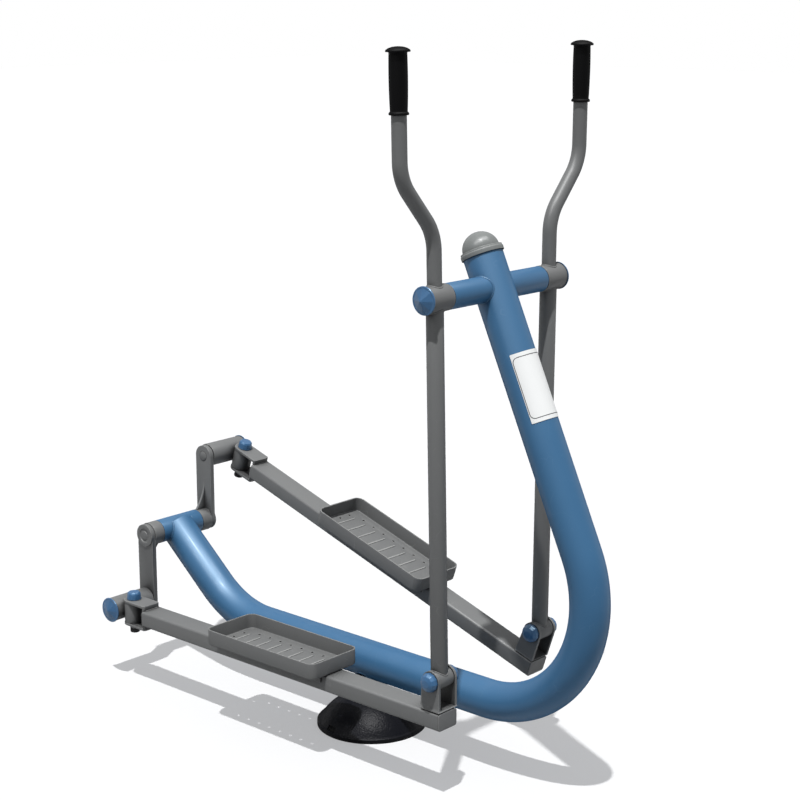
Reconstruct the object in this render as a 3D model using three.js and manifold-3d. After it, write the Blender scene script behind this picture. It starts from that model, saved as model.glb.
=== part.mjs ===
// Outdoor air walker: one bent main tube on a domed foot carries a rear crank and a
// cross tube, from which two arms with hand grips hang. Each arm drives a beam with a
// foot tray, and the beams' rear ends ride on the two throws of the crank.
//
// Millimetres. +X forward to the mast, +Y to the walker's left, +Z up.
// The origin is the centre of the foot flange's underside, on the ground.
// 'right' pieces lie at -Y and 'left' pieces at +Y.

import * as THREE from 'three';
import { mergeVertices } from 'three/addons/utils/BufferGeometryUtils.js';
import Module from 'manifold-3d';

const wasm = await Module();
wasm.setup();

// Main tube: one line of axis in the plane Y = 0
const mainTubeDiameter = 89;
const mainTubeWall = 4;
const mainBendRadius = 280;
const levelRunUnderside = 116.5;
const rearLegSlopeAngle = 39.74;
const mastLeanAngle = 24.5;
const mastAboveCrossTube = 87;
const legTaperLength = 62;

// Axes of the linkage
const crankAxisX = -698;
const crankAxisHeight = 351.6;
const crankThrow = 171.6;
const topAxisX = 363;
const topAxisHeight = 1104;
const armSwingRadius = 832;
const armOffset = 193.5;
const pivotAlongBeam = 1080;
const pivotAboveBeamTop = 70;

// Cross tube and its axle
const crossTubeDiameter = 57;
const crossTubeWall = 3;
const crossTubeHalfLength = 158;
const axleDiameter = 25;
const axleDiscWidth = 12;
const axleDiscInset = 16;

// Arm hub, bearing and end cap
const armHubDiameter = 58;
const armHubWall = 3;
const armHubLength = 66.5;
const hubBearingInset = 3.5;
const capRimHeight = 3;
const hubCapHeight = 15;
const hubCapRadius = 30.8;
const capPlugDepth = 6;
const capPlugWall = 2;

// Arm tubes
const lowerTubeDiameter = 38;
const lowerTubeWall = 3;
const handleTubeDiameter = 32;
const handleTubeWall = 2.5;
const handleBendRadius = 100;
const handleBendAngle = 41;
const handleStraightLength = 99;
const gripOffset = 101;

// Hand grip
const gripBottomHeight = 381.8;
const gripLength = 134.5;
const gripRadius = 18.4;
const gripSwell = 1.2;
const gripCollarRadius = 20.8;
const gripCollarHeight = 6.5;
const gripFlangeRadius = 25.5;
const gripFlangeThickness = 4;
const gripCrownHeight = 7;
const gripEndThickness = 8;

// Sleeve at the arm's foot and the fork on the beam that holds it
const armSleeveDiameter = 40;
const forkBoltDiameter = 16;
const forkEarThickness = 8;
const forkBaseThickness = 6;
const forkBaseLipHeight = 3;
const forkBaseLipInset = 1.5;
const forkHalfLength = 29;
const forkTopRadius = 24;
const forkStraightHeight = 14;
const forkBoltHeadRadius = 12;
const forkBoltHeadHeight = 9;
const forkCapRadius = 21.5;
const forkCapHeight = 18.5;
const forkCapRimHeight = 4;
const forkCapWall = 3;

// Beam
const beamWidth = 60;
const beamHeight = 40;
const beamWall = 3;
const beamCornerRadius = 6;
const beamRearFromSwivel = 63;
const beamPastPivot = 24;
const beamPlugThickness = 3;
const beamPlugDepth = 14;

// Foot tray
const trayLength = 360;
const trayWidth = 154;
const trayHeight = 39;
const trayWall = 3;
const trayFloorThickness = 3;
const trayCornerRadius = 20;
const trayCentreAlongBeam = 586;
const trayHoleRadius = 3.2;
const trayHoleSpacing = 36;
const trayHoleRowOffset = 51;
const trayEndHoleOffset = 34;
const trayRibWidth = 5;
const trayRibHeight = 1.6;
const trayRibLength = 74;
const saddleThickness = 4;
const saddleLength = 36;
const saddleDrop = 19;
const saddleInset = 35;

// Swivel at the beam's rear end
const swivelFromPin = 51;
const swivelSleeveDiameter = 50;
const swivelSleeveHeight = 52.2;
const swivelBoltDiameter = 16;
const swivelNutRadius = 13;
const swivelNutHeight = 12;
const swivelBoltEnd = 11;
const swivelEndRadius = 12.5;
const swivelCapRadius = 18.5;
const swivelCapTopRadius = 16;
const swivelCapHeight = 19;
const swivelCapBevel = 3;
const swivelCapWall = 3;
const yokePlateThickness = 6;
const yokeFoldFromBolt = 68;
const yokeEndRadius = 26;

// Crank
const crankHousingDiameter = 60;
const crankHousingWall = 3;
const crankHousingHalfLength = 66;
const crankShaftDiameter = 25;
const crankBearingWidth = 14;
const crankBearingInset = 2;
const crankHubLength = 29.5;
const crankHubEndGap = 1;
const crankArmWidth = 56;
const crankArmThickness = 12;
const crankDiscRadius = 29;
const crankDiscHeight = 3;
const crankDiscRecessRadius = 18;
const crankDiscBossRadius = 10;
const crankDiscRecessDepth = 1.5;
const crankShaftShortfall = 3;
const gussetThickness = 6;
const gussetHeight = 100;
const crankPinDiameter = 18;
const crankPinShoulderDiameter = 28;

// Housing that turns on the crank pin, and its end cap
const pinHousingDiameter = 60;
const pinHousingWall = 3;
const pinHousingGap = 2;
const pinHousingPastBeamCentre = 35.5;
const pinShortfall = 10;
const pinCapRadius = 31.8;
const pinCapHeight = 12;

// Mast cap
const mastCapCollarThickness = 3.5;
const mastCapCollarHeight = 14;
const mastCapLipHeight = 5;
const mastCapLipInset = 1.5;
const mastCapRise = 39;
const mastCapDomeRadius = 41;

// Foot
const flangeRadius = 105;
const flangeThickness = 10;
const flangeBoltCircleRadius = 80;
const anchorBoltRadius = 8;
const anchorBoltHeight = 34;
const anchorNutRadius = 14;
const anchorNutHeight = 12;
const postDiameter = 76;
const postWall = 4;
const domeRadius = 132;
const domeRimHeight = 14;
const domeHeight = 113;
const domeWall = 3;
const domePostGap = 0.6;

// Clearances
const seatGap = 0.3;
const runningGap = 0.35;
const sideGap = 0.5;
const hubEndGap = 1.5;
const cutOverrun = 5;

// Counts
const trayHoleCount = 8;
const trayRibCount = 7;
const anchorBoltCount = 4;

// Fineness of the round forms, in counts and degrees
const mainTubeSides = 20;
const tubeSides = 16;
const smallSides = 16;
const forkCapSides = 12;
const boltSides = 12;
const hexSides = 6;
const bendStepAngle = 11.5;
const handleBendStepAngle = 13.7;
const handleSides = 12;
const cornerSegments = 2;
const domeSegments = 5;
const mastCapSteps = 4;
const earSegments = 5;
const holeSides = 5;
const gripStations = 2;
const weldTolerance = 0.0005;

// Shares: places on an outline as parts of its own sizes
const crownMidRadiusShare = 0.72;
const crownMidHeightShare = 0.74;
const forkCapShoulderShares = [[0.97, 0.45], [0.78, 0.78], [0.42, 0.97]];
const gussetCurveShare = 0.3;

const degree = Math.PI / 180;
const quarterTurn = Math.PI / 2;
const halfTurn = Math.PI;
const fullTurn = Math.PI * 2;
const half = (size) => size / 2;
const repeated = (count, make) => Array.from({ length: count }, (_, i) => make(i));

// Solids

function toSolid(geometry) {
  const plain = geometry.clone();
  plain.deleteAttribute('normal');
  plain.deleteAttribute('uv');
  const merged = mergeVertices(plain, weldTolerance);
  const corners = merged.index.array;
  const kept = [];
  for (let i = 0; i < corners.length; i += 3) {
    const [a, b, c] = [corners[i], corners[i + 1], corners[i + 2]];
    if (a !== b && b !== c && c !== a) kept.push(a, b, c);
  }
  return new wasm.Manifold(new wasm.Mesh({
    numProp: 3,
    vertProperties: new Float32Array(merged.attributes.position.array),
    triVerts: new Uint32Array(kept),
  }));
}

function toGeometry(solid) {
  const { vertProperties, triVerts } = solid.getMesh();
  const geometry = new THREE.BufferGeometry();
  geometry.setAttribute('position', new THREE.BufferAttribute(vertProperties, 3));
  geometry.setIndex(new THREE.BufferAttribute(triVerts, 1));
  geometry.computeVertexNormals();
  return geometry;
}

const join = (...geometries) => toGeometry(
  geometries.map(toSolid).reduce((sum, solid) => sum.add(solid)));
const cut = (geometry, ...tools) => toGeometry(
  tools.map(toSolid).reduce((rest, tool) => rest.subtract(tool), toSolid(geometry)));

// A profile of [radius, distance along Y] turned about the Y axis. It runs from the axis
// at the low end round to the axis at the high end, or closes on itself.
function turned(profile, sides = tubeSides) {
  const points = profile.map(([r, y]) => new THREE.Vector2(r, y));
  return toGeometry(toSolid(new THREE.LatheGeometry(points, sides)));
}

const rodY = (radius, from, to, sides) =>
  turned([[0, from], [radius, from], [radius, to], [0, to]], sides);

const ringY = (outer, inner, from, to, sides) =>
  turned([[outer, from], [outer, to], [inner, to], [inner, from], [outer, from]], sides);

const rodZ = (radius, from, to, sides) => rodY(radius, from, to, sides).rotateX(quarterTurn);
const ringZ = (outer, inner, from, to, sides) =>
  ringY(outer, inner, from, to, sides).rotateX(quarterTurn);

// A cutter for the seat of a round tube: its flats, not its corners, keep the clearance.
const seatRadius = (radius, sides = tubeSides) => (radius + seatGap) / Math.cos(halfTurn / sides);

function boxBetween([x0, y0, z0], [x1, y1, z1]) {
  return new THREE.BoxGeometry(x1 - x0, y1 - y0, z1 - z0)
    .translate(half(x0 + x1), half(y0 + y1), half(z0 + z1));
}

function roundedRectangle(length, width, radius) {
  const [x, y] = [half(length) - radius, half(width) - radius];
  const shape = new THREE.Shape();
  shape.absarc(x, y, radius, 0, quarterTurn);
  shape.absarc(-x, y, radius, quarterTurn, halfTurn);
  shape.absarc(-x, -y, radius, halfTurn, halfTurn + quarterTurn);
  shape.absarc(x, -y, radius, halfTurn + quarterTurn, fullTurn);
  return shape;
}

const extruded = (shape, depth, curveSegments = cornerSegments) =>
  new THREE.ExtrudeGeometry(shape, { depth, curveSegments, bevelEnabled: false });

// A shape drawn in X and Z, spread evenly to both sides of a plane across Y.
const plateAcrossY = (shape, thickness, y, curveSegments) =>
  extruded(shape, thickness, curveSegments)
    .rotateX(quarterTurn).translate(0, y + half(thickness), 0);

// Tubes bent from straight runs. Stations stand only at the ends and within the bends.
class BentLine extends THREE.Curve {
  constructor(corners, bendRadius, stepAngle) {
    super();
    this.stations = [];
    const direction = (a, b) => new THREE.Vector3().subVectors(b, a).normalize();
    corners.forEach((corner, i) => {
      if (i === 0 || i === corners.length - 1) {
        const tangent = i === 0 ? direction(corner, corners[1]) : direction(corners[i - 1], corner);
        this.stations.push({ point: corner.clone(), tangent });
        return;
      }
      const before = direction(corners[i - 1], corner);
      const after = direction(corner, corners[i + 1]);
      const bend = before.angleTo(after);
      const inward = after.clone().addScaledVector(before, -after.dot(before)).normalize();
      const start = corner.clone().addScaledVector(before, -bendRadius * Math.tan(half(bend)));
      const steps = Math.ceil(bend / (stepAngle * degree));
      for (let step = 0; step <= steps; step += 1) {
        const angle = bend * step / steps;
        this.stations.push({
          point: start.clone()
            .addScaledVector(before, bendRadius * Math.sin(angle))
            .addScaledVector(inward, bendRadius * (1 - Math.cos(angle))),
          tangent: before.clone().multiplyScalar(Math.cos(angle))
            .addScaledVector(inward, Math.sin(angle)),
        });
      }
    });
  }
  station(share) {
    return this.stations[Math.round(share * (this.stations.length - 1))];
  }
  getPoint(share, target = new THREE.Vector3()) {
    return target.copy(this.station(share).point);
  }
  getPointAt(share, target) {
    return this.getPoint(share, target);
  }
  getTangent(share, target = new THREE.Vector3()) {
    return target.copy(this.station(share).tangent);
  }
  getTangentAt(share, target) {
    return this.getTangent(share, target);
  }
}

function sweptRound(line, radius, boreRadius = 0, sides = tubeSides) {
  const shape = new THREE.Shape();
  shape.absarc(0, 0, radius, 0, fullTurn);
  if (boreRadius > 0) {
    const bore = new THREE.Path();
    bore.absarc(0, 0, boreRadius, 0, fullTurn, true);
    shape.holes.push(bore);
  }
  return new THREE.ExtrudeGeometry(shape, {
    curveSegments: half(sides), steps: line.stations.length - 1, extrudePath: line, bevelEnabled: false,
  });
}

// Finishes

const finish = (color, roughness, metalness) => ({ color, roughness, metalness });
const bluePaint = finish(0x4a7fc0, 0.35, 0.1);
const greyPaint = finish(0x6d6e6d, 0.5, 0.15);
const bareSteel = finish(0xa8abad, 0.35, 0.9);
const blackRubber = finish(0x1b1b1c, 0.8, 0);
const blackPlastic = finish(0x141516, 0.6, 0);
const bluePlastic = finish(0x3f76b8, 0.4, 0);

function piece(parent, name, geometry, look) {
  const mesh = new THREE.Mesh(geometry, new THREE.MeshStandardMaterial(look));
  mesh.name = name;
  parent.add(mesh);
  return mesh;
}

const walker = new THREE.Group();
const sides = [['right', -1], ['left', 1]];

// Main tube

const mainRadius = half(mainTubeDiameter);
const crankHousingRadius = half(crankHousingDiameter);
const crossTubeRadius = half(crossTubeDiameter);
const levelRunHeight = levelRunUnderside + mainRadius;
const legAngle = rearLegSlopeAngle * degree;
const leanAngle = mastLeanAngle * degree;
const inPlane = (x, z) => new THREE.Vector3(x, 0, z);
const legRun = (crankAxisHeight - levelRunHeight) / Math.tan(legAngle);
const mastFootX = topAxisX + (topAxisHeight - levelRunHeight) * Math.tan(leanAngle);
const mastTopX = topAxisX - mastAboveCrossTube * Math.sin(leanAngle);
const mastTopHeight = topAxisHeight + mastAboveCrossTube * Math.cos(leanAngle);

function mainLine(startAlongLeg, pastTop) {
  return new BentLine([
    inPlane(crankAxisX + startAlongLeg * Math.cos(legAngle),
      crankAxisHeight - startAlongLeg * Math.sin(legAngle)),
    inPlane(crankAxisX + legRun, levelRunHeight),
    inPlane(mastFootX, levelRunHeight),
    inPlane(mastTopX - pastTop * Math.sin(leanAngle), mastTopHeight + pastTop * Math.cos(leanAngle)),
  ], mainBendRadius, bendStepAngle);
}

// The leg's end is pressed flat to the height of the crank housing that it is welded to.
function legTaper(direction) {
  const slope = (mainRadius - crankHousingRadius) / legTaperLength;
  const waste = new THREE.Shape();
  waste.moveTo(-cutOverrun, direction * (crankHousingRadius - slope * cutOverrun));
  waste.lineTo(legTaperLength, direction * mainRadius);
  waste.lineTo(legTaperLength, direction * mainTubeDiameter);
  waste.lineTo(-cutOverrun, direction * mainTubeDiameter);
  return plateAcrossY(waste, mainTubeDiameter + cutOverrun, 0)
    .rotateY(legAngle).translate(crankAxisX, 0, crankAxisHeight);
}

const mainTube = cut(
  sweptRound(mainLine(0, 0), mainRadius, 0, mainTubeSides),
  legTaper(1), legTaper(-1),
  sweptRound(mainLine(legTaperLength, cutOverrun), mainRadius - mainTubeWall, 0, mainTubeSides),
  rodY(seatRadius(crankHousingRadius), -mainTubeDiameter, mainTubeDiameter)
    .translate(crankAxisX, 0, crankAxisHeight),
  rodY(seatRadius(crossTubeRadius), -mainTubeDiameter, mainTubeDiameter)
    .translate(topAxisX, 0, topAxisHeight));
piece(walker, 'main_tube', mainTube, bluePaint);

function mastCapProfile() {
  const collar = mainRadius + mastCapCollarThickness;
  const lip = collar - mastCapLipInset;
  const bore = mainRadius + seatGap;
  const skirt = mastCapCollarHeight;
  return [
    [0, seatGap], [bore, seatGap], [bore, -skirt], [collar, -skirt], [collar, -mastCapLipHeight],
    [lip, -mastCapLipHeight], [lip, 0],
    [mastCapDomeRadius, 0],
    ...repeated(mastCapSteps - 1, (i) => {
      const angle = quarterTurn * (i + 1) / mastCapSteps;
      return [mastCapDomeRadius * Math.cos(angle), mastCapRise * Math.sin(angle)];
    }),
    [0, mastCapRise],
  ];
}
piece(walker, 'mast_cap', turned(mastCapProfile(), mainTubeSides).rotateX(quarterTurn)
  .rotateY(-leanAngle).translate(mastTopX, 0, mastTopHeight), greyPaint);

// Cross tube with its fixed axle

const crossTubeBore = crossTubeRadius - crossTubeWall;
const axleRadius = half(axleDiameter);
const hubInnerEnd = crossTubeHalfLength + hubEndGap;
const hubOuterEnd = hubInnerEnd + armHubLength;
const crossTubeGroup = new THREE.Group();
crossTubeGroup.position.set(topAxisX, 0, topAxisHeight);
walker.add(crossTubeGroup);
piece(crossTubeGroup, 'cross_tube',
  ringY(crossTubeRadius, crossTubeBore, -crossTubeHalfLength, crossTubeHalfLength), bluePaint);

function axleProfile() {
  const end = hubOuterEnd - capPlugDepth - hubEndGap;
  const disc = crossTubeBore - seatGap;
  const outer = crossTubeHalfLength - axleDiscInset;
  const inner = outer - axleDiscWidth;
  return [
    [0, -end], [axleRadius, -end], [axleRadius, -outer], [disc, -outer], [disc, -inner],
    [axleRadius, -inner], [axleRadius, inner], [disc, inner], [disc, outer],
    [axleRadius, outer], [axleRadius, end], [0, end],
  ];
}
piece(crossTubeGroup, 'top_axle', turned(axleProfile()), bareSteel);

// Crank housing, its bearings, and the crank

const crankShaftRadius = half(crankShaftDiameter);
const crankHousingBore = crankHousingRadius - crankHousingWall;
const crankHubStart = crankHousingHalfLength + crankHubEndGap;
const crankArmInner = crankHubStart + crankHubLength + seatGap;
const crankArmOuter = crankArmInner + crankArmThickness;
const crankDiscFace = crankArmOuter + crankDiscHeight;
const crankArmHalfWidth = half(crankArmWidth);
const crankGroup = new THREE.Group();
crankGroup.position.set(crankAxisX, 0, crankAxisHeight);
walker.add(crankGroup);

piece(crankGroup, 'crank_housing',
  ringY(crankHousingRadius, crankHousingBore, -crankHousingHalfLength, crankHousingHalfLength),
  bluePaint);
piece(crankGroup, 'crank_shaft',
  rodY(crankShaftRadius, -(crankDiscFace - crankShaftShortfall - seatGap),
    crankDiscFace - crankShaftShortfall - seatGap), bareSteel);

const pinHousingRadius = half(pinHousingDiameter);
const pinHousingBore = pinHousingRadius - pinHousingWall;
const pinHousingInner = crankArmOuter + pinHousingGap;
const pinHousingOuter = armOffset + pinHousingPastBeamCentre;

// One throw of the crank, drawn with its pin upward and outward along +Y.
function crankArm() {
  const bar = new THREE.Shape();
  bar.absarc(0, crankThrow, crankArmHalfWidth, 0, halfTurn);
  bar.absarc(0, 0, crankArmHalfWidth, halfTurn, fullTurn);
  const gusset = new THREE.Shape();
  const foot = crankHousingRadius + seatGap;
  const inward = crankHubLength;
  gusset.moveTo(0, foot);
  gusset.lineTo(cutOverrun, foot);
  gusset.lineTo(cutOverrun, gussetHeight);
  gusset.lineTo(0, gussetHeight);
  gusset.quadraticCurveTo(-inward * gussetCurveShare,
    foot + (gussetHeight - foot) * gussetCurveShare, -inward, foot);
  const web = extruded(gusset, gussetThickness)
    .rotateX(quarterTurn).rotateZ(quarterTurn).translate(-half(gussetThickness), crankArmInner, 0);
  const recess = ringY(crankDiscRecessRadius, crankDiscBossRadius,
    crankDiscFace - crankDiscRecessDepth, crankDiscFace + cutOverrun, smallSides);
  return cut(
    join(plateAcrossY(bar, crankArmThickness, half(crankArmInner + crankArmOuter), earSegments),
      rodY(crankDiscRadius, crankArmOuter - crankDiscHeight, crankDiscFace), web),
    rodY(crankShaftRadius + seatGap, crankArmInner - cutOverrun, crankDiscFace - crankShaftShortfall),
    rodY(half(crankPinShoulderDiameter) + seatGap, crankArmInner - cutOverrun,
      crankArmOuter + cutOverrun, smallSides).translate(0, 0, crankThrow),
    recess);
}

function crankPin() {
  const shoulder = half(crankPinShoulderDiameter);
  const pin = half(crankPinDiameter);
  const end = pinHousingOuter - pinShortfall;
  return turned([[0, crankArmInner], [shoulder, crankArmInner], [shoulder, crankArmOuter],
    [pin, crankArmOuter], [pin, end], [0, end]], smallSides).translate(0, 0, crankThrow);
}

// The right throw points down and the left throw up.
for (const [side, sign] of sides) {
  const group = new THREE.Group();
  if (sign < 0) group.rotation.x = halfTurn;
  crankGroup.add(group);
  piece(group, `crank_hub_${side}`, ringY(crankHousingRadius, crankShaftRadius + seatGap,
    crankHubStart, crankHubStart + crankHubLength), greyPaint);
  piece(group, `crank_arm_${side}`, crankArm(), greyPaint);
  piece(group, `crank_pin_${side}`, crankPin(), bareSteel);
  const bearingEnd = crankHousingHalfLength - crankBearingInset;
  piece(group, `crank_bearing_${side}`, ringY(crankHousingBore - seatGap,
    crankShaftRadius + runningGap, bearingEnd - crankBearingWidth, bearingEnd), bareSteel);
}

// Linkage: where the arm's foot pivot lies when the crank pin is straight up or down

const pivotAboveBeam = pivotAboveBeamTop + half(beamHeight);
const beamChord = Math.hypot(pivotAlongBeam, pivotAboveBeam);

function linkage(sign) {
  const pin = new THREE.Vector2(crankAxisX, crankAxisHeight + sign * crankThrow);
  const top = new THREE.Vector2(topAxisX, topAxisHeight);
  const between = new THREE.Vector2().subVectors(pin, top);
  const span = between.length();
  const along = (armSwingRadius ** 2 - beamChord ** 2 + span ** 2) / (2 * span);
  const aside = Math.sqrt(armSwingRadius ** 2 - along ** 2);
  between.normalize();
  const foot = top.clone().addScaledVector(between, along)
    .addScaledVector(new THREE.Vector2(-between.y, between.x), aside);
  return {
    pin,
    swing: Math.atan2(top.x - foot.x, top.y - foot.y),
    pitch: Math.atan2(foot.y - pin.y, foot.x - pin.x) - Math.atan2(pivotAboveBeam, pivotAlongBeam),
  };
}

// Arms

const armHubRadius = half(armHubDiameter);
const armHubBore = armHubRadius - armHubWall;
const armSleeveRadius = half(armSleeveDiameter);
const forkInnerHalf = half(beamWidth) - forkEarThickness;

function lowerTube() {
  const radius = half(lowerTubeDiameter);
  return cut(ringZ(radius, radius - lowerTubeWall, -armSwingRadius, 0),
    rodY(seatRadius(armHubRadius), -armHubLength, armHubLength),
    rodY(seatRadius(armSleeveRadius), -armHubLength, armHubLength)
      .translate(0, 0, -armSwingRadius));
}

// The handle tube rises from the hub and steps outward in two equal bends.
function handleTube(sign) {
  const bend = handleBendAngle * degree;
  const firstCorner = handleStraightLength + handleBendRadius * Math.tan(half(bend));
  const secondCorner = firstCorner + gripOffset / Math.tan(bend);
  const top = gripBottomHeight + gripLength - gripEndThickness - seatGap;
  const line = new BentLine([
    new THREE.Vector3(0, 0, 0), new THREE.Vector3(0, 0, firstCorner),
    new THREE.Vector3(0, sign * gripOffset, secondCorner),
    new THREE.Vector3(0, sign * gripOffset, top),
  ], handleBendRadius, handleBendStepAngle);
  const radius = half(handleTubeDiameter);
  return cut(sweptRound(line, radius, radius - handleTubeWall, handleSides),
    rodY(seatRadius(armHubRadius), -armHubLength, armHubLength));
}

function grip() {
  const bore = seatRadius(half(handleTubeDiameter), smallSides);
  const flangeFoot = gripLength - gripCrownHeight - gripFlangeThickness;
  const barrel = repeated(gripStations, (i) => {
    const share = (i + 1) / (gripStations + 1);
    return [gripRadius + gripSwell * Math.sin(halfTurn * share),
      gripCollarHeight + (flangeFoot - gripCollarHeight) * share];
  });
  const flangeTop = flangeFoot + gripFlangeThickness;
  return turned([
    [0, gripLength - gripEndThickness], [bore, gripLength - gripEndThickness], [bore, 0],
    [gripCollarRadius, 0], [gripCollarRadius, gripCollarHeight],
    [gripRadius, gripCollarHeight], ...barrel, [gripRadius, flangeFoot],
    [gripFlangeRadius, flangeFoot], [gripFlangeRadius, flangeTop],
    [gripFlangeRadius * crownMidRadiusShare, flangeTop + gripCrownHeight * crownMidHeightShare],
    [0, gripLength],
  ], smallSides).rotateX(quarterTurn);
}

// A plastic end cap with a rim, a low cone and a plug, facing outward along +Y.
function endCap(radius, height, plugRadius) {
  return turned([
    [0, -capPlugDepth], [plugRadius, -capPlugDepth], [plugRadius, 0], [radius, 0],
    [radius, capRimHeight], [0, height],
  ]);
}

const outward = (geometry, sign) => (sign < 0 ? geometry.rotateX(halfTurn) : geometry);

for (const [side, sign] of sides) {
  const { pin, swing, pitch } = linkage(sign);

  const arm = new THREE.Group();
  arm.position.set(topAxisX, sign * armOffset, topAxisHeight);
  arm.rotation.y = swing;
  walker.add(arm);

  const hub = new THREE.Group();
  hub.position.y = -sign * armOffset;
  arm.add(hub);
  piece(hub, `arm_hub_${side}`,
    outward(ringY(armHubRadius, armHubBore, hubInnerEnd, hubOuterEnd), sign), greyPaint);
  piece(hub, `hub_bearing_${side}`, outward(ringY(armHubBore - seatGap, axleRadius + runningGap,
    hubInnerEnd + hubBearingInset, hubOuterEnd - hubBearingInset - capPlugDepth),
  sign), bareSteel);
  piece(hub, `hub_cap_${side}`, outward(
    endCap(hubCapRadius, hubCapHeight, armHubBore - seatGap)
      .translate(0, hubOuterEnd + seatGap, 0), sign), bluePlastic);

  piece(arm, `arm_lower_tube_${side}`, lowerTube(), greyPaint);
  piece(arm, `handle_tube_${side}`, handleTube(sign), greyPaint);
  piece(arm, `grip_${side}`, grip().translate(0, sign * gripOffset, gripBottomHeight), blackRubber);
  piece(arm, `arm_sleeve_${side}`,
    ringY(armSleeveRadius, half(forkBoltDiameter) + runningGap,
      -(forkInnerHalf - sideGap), forkInnerHalf - sideGap)
      .translate(0, 0, -armSwingRadius), greyPaint);

  // The beam's own frame starts at the crank pin and points forward along the beam.
  const beam = new THREE.Group();
  beam.position.set(pin.x, sign * armOffset, pin.y);
  beam.rotation.y = -pitch;
  walker.add(beam);
  addBeam(beam, side);
  addFork(beam, side);
  addTray(beam, side);
  addSwivel(beam, side, sign);
}

// Beam

function beamProfile(inset) {
  return roundedRectangle(beamHeight - inset * 2, beamWidth - inset * 2, beamCornerRadius - inset);
}

function alongX(shape, from, to) {
  return extruded(shape, to - from).rotateY(quarterTurn).translate(from, 0, 0);
}

function addBeam(beam, side) {
  const rear = swivelFromPin + beamRearFromSwivel;
  const front = pivotAlongBeam + beamPastPivot - beamPlugThickness - seatGap;
  piece(beam, `beam_${side}`, cut(alongX(beamProfile(0), rear, front),
    alongX(beamProfile(beamWall), rear + beamWall, front + cutOverrun)), greyPaint);
  const plugFace = front + seatGap;
  piece(beam, `beam_plug_${side}`, join(
    alongX(beamProfile(0), plugFace, plugFace + beamPlugThickness),
    alongX(beamProfile(beamWall + seatGap), plugFace - beamPlugDepth,
      plugFace + half(beamPlugThickness))), greyPaint);
}

// Fork: a base plate with two ears that hold the arm's sleeve on one bolt

function addFork(beam, side) {
  const bottom = half(beamHeight) + seatGap;
  const top = bottom + forkBaseThickness;
  const shoulder = bottom + forkStraightHeight;
  const pivot = pivotAboveBeam;
  const ear = new THREE.Shape();
  ear.moveTo(-forkHalfLength, top - half(forkBaseThickness));
  ear.lineTo(forkHalfLength, top - half(forkBaseThickness));
  ear.lineTo(forkHalfLength, shoulder);
  ear.absarc(0, pivot, forkTopRadius, 0, halfTurn);
  ear.lineTo(-forkHalfLength, shoulder);
  const halfWidth = half(beamWidth);
  const earAt = (sign) => plateAcrossY(ear, forkEarThickness,
    sign * (halfWidth - half(forkEarThickness)), earSegments);
  const base = boxBetween([-forkHalfLength, -halfWidth, bottom + forkBaseLipHeight],
    [forkHalfLength, halfWidth, top]);
  const lip = boxBetween(
    [forkBaseLipInset - forkHalfLength, forkBaseLipInset - halfWidth, bottom],
    [forkHalfLength - forkBaseLipInset, halfWidth - forkBaseLipInset, top - forkBaseLipInset]);
  const boltHole = rodY(half(forkBoltDiameter) + seatGap, -beamWidth, beamWidth, smallSides)
    .translate(0, 0, pivot);
  piece(beam, `fork_bracket_${side}`, cut(join(earAt(-1), earAt(1), base, lip), boltHole)
    .translate(pivotAlongBeam, 0, 0), greyPaint);

  const headFoot = halfWidth + seatGap;
  const head = headFoot + forkBoltHeadHeight;
  const hexHead = (from, to) => rodY(forkBoltHeadRadius, from, to, hexSides);
  piece(beam, `fork_bolt_${side}`, join(rodY(half(forkBoltDiameter), -headFoot - half(forkBoltHeadHeight),
    headFoot + half(forkBoltHeadHeight), smallSides), hexHead(headFoot, head), hexHead(-head, -headFoot))
    .translate(pivotAlongBeam, 0, pivot), bareSteel);

  const pocket = forkCapRadius - forkCapWall;
  const cap = () => turned([
    [0, forkCapHeight - forkCapWall], [pocket, half(forkCapHeight)], [pocket, 0],
    [forkCapRadius, 0], [forkCapRadius, forkCapRimHeight],
    ...forkCapShoulderShares.map(([r, y]) => [r * forkCapRadius, y * forkCapHeight]),
    [0, forkCapHeight],
  ], forkCapSides);
  const capFoot = halfWidth + seatGap;
  piece(beam, `fork_cap_outer_${side}`, cap().translate(0, capFoot, 0)
    .rotateX(side === 'right' ? halfTurn : 0).translate(pivotAlongBeam, 0, pivot), bluePlastic);
  piece(beam, `fork_cap_inner_${side}`, cap().translate(0, capFoot, 0)
    .rotateX(side === 'right' ? 0 : halfTurn).translate(pivotAlongBeam, 0, pivot), bluePlastic);
}

// Foot tray with drain holes, tread ribs and two pairs of flanges that straddle the beam

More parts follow.
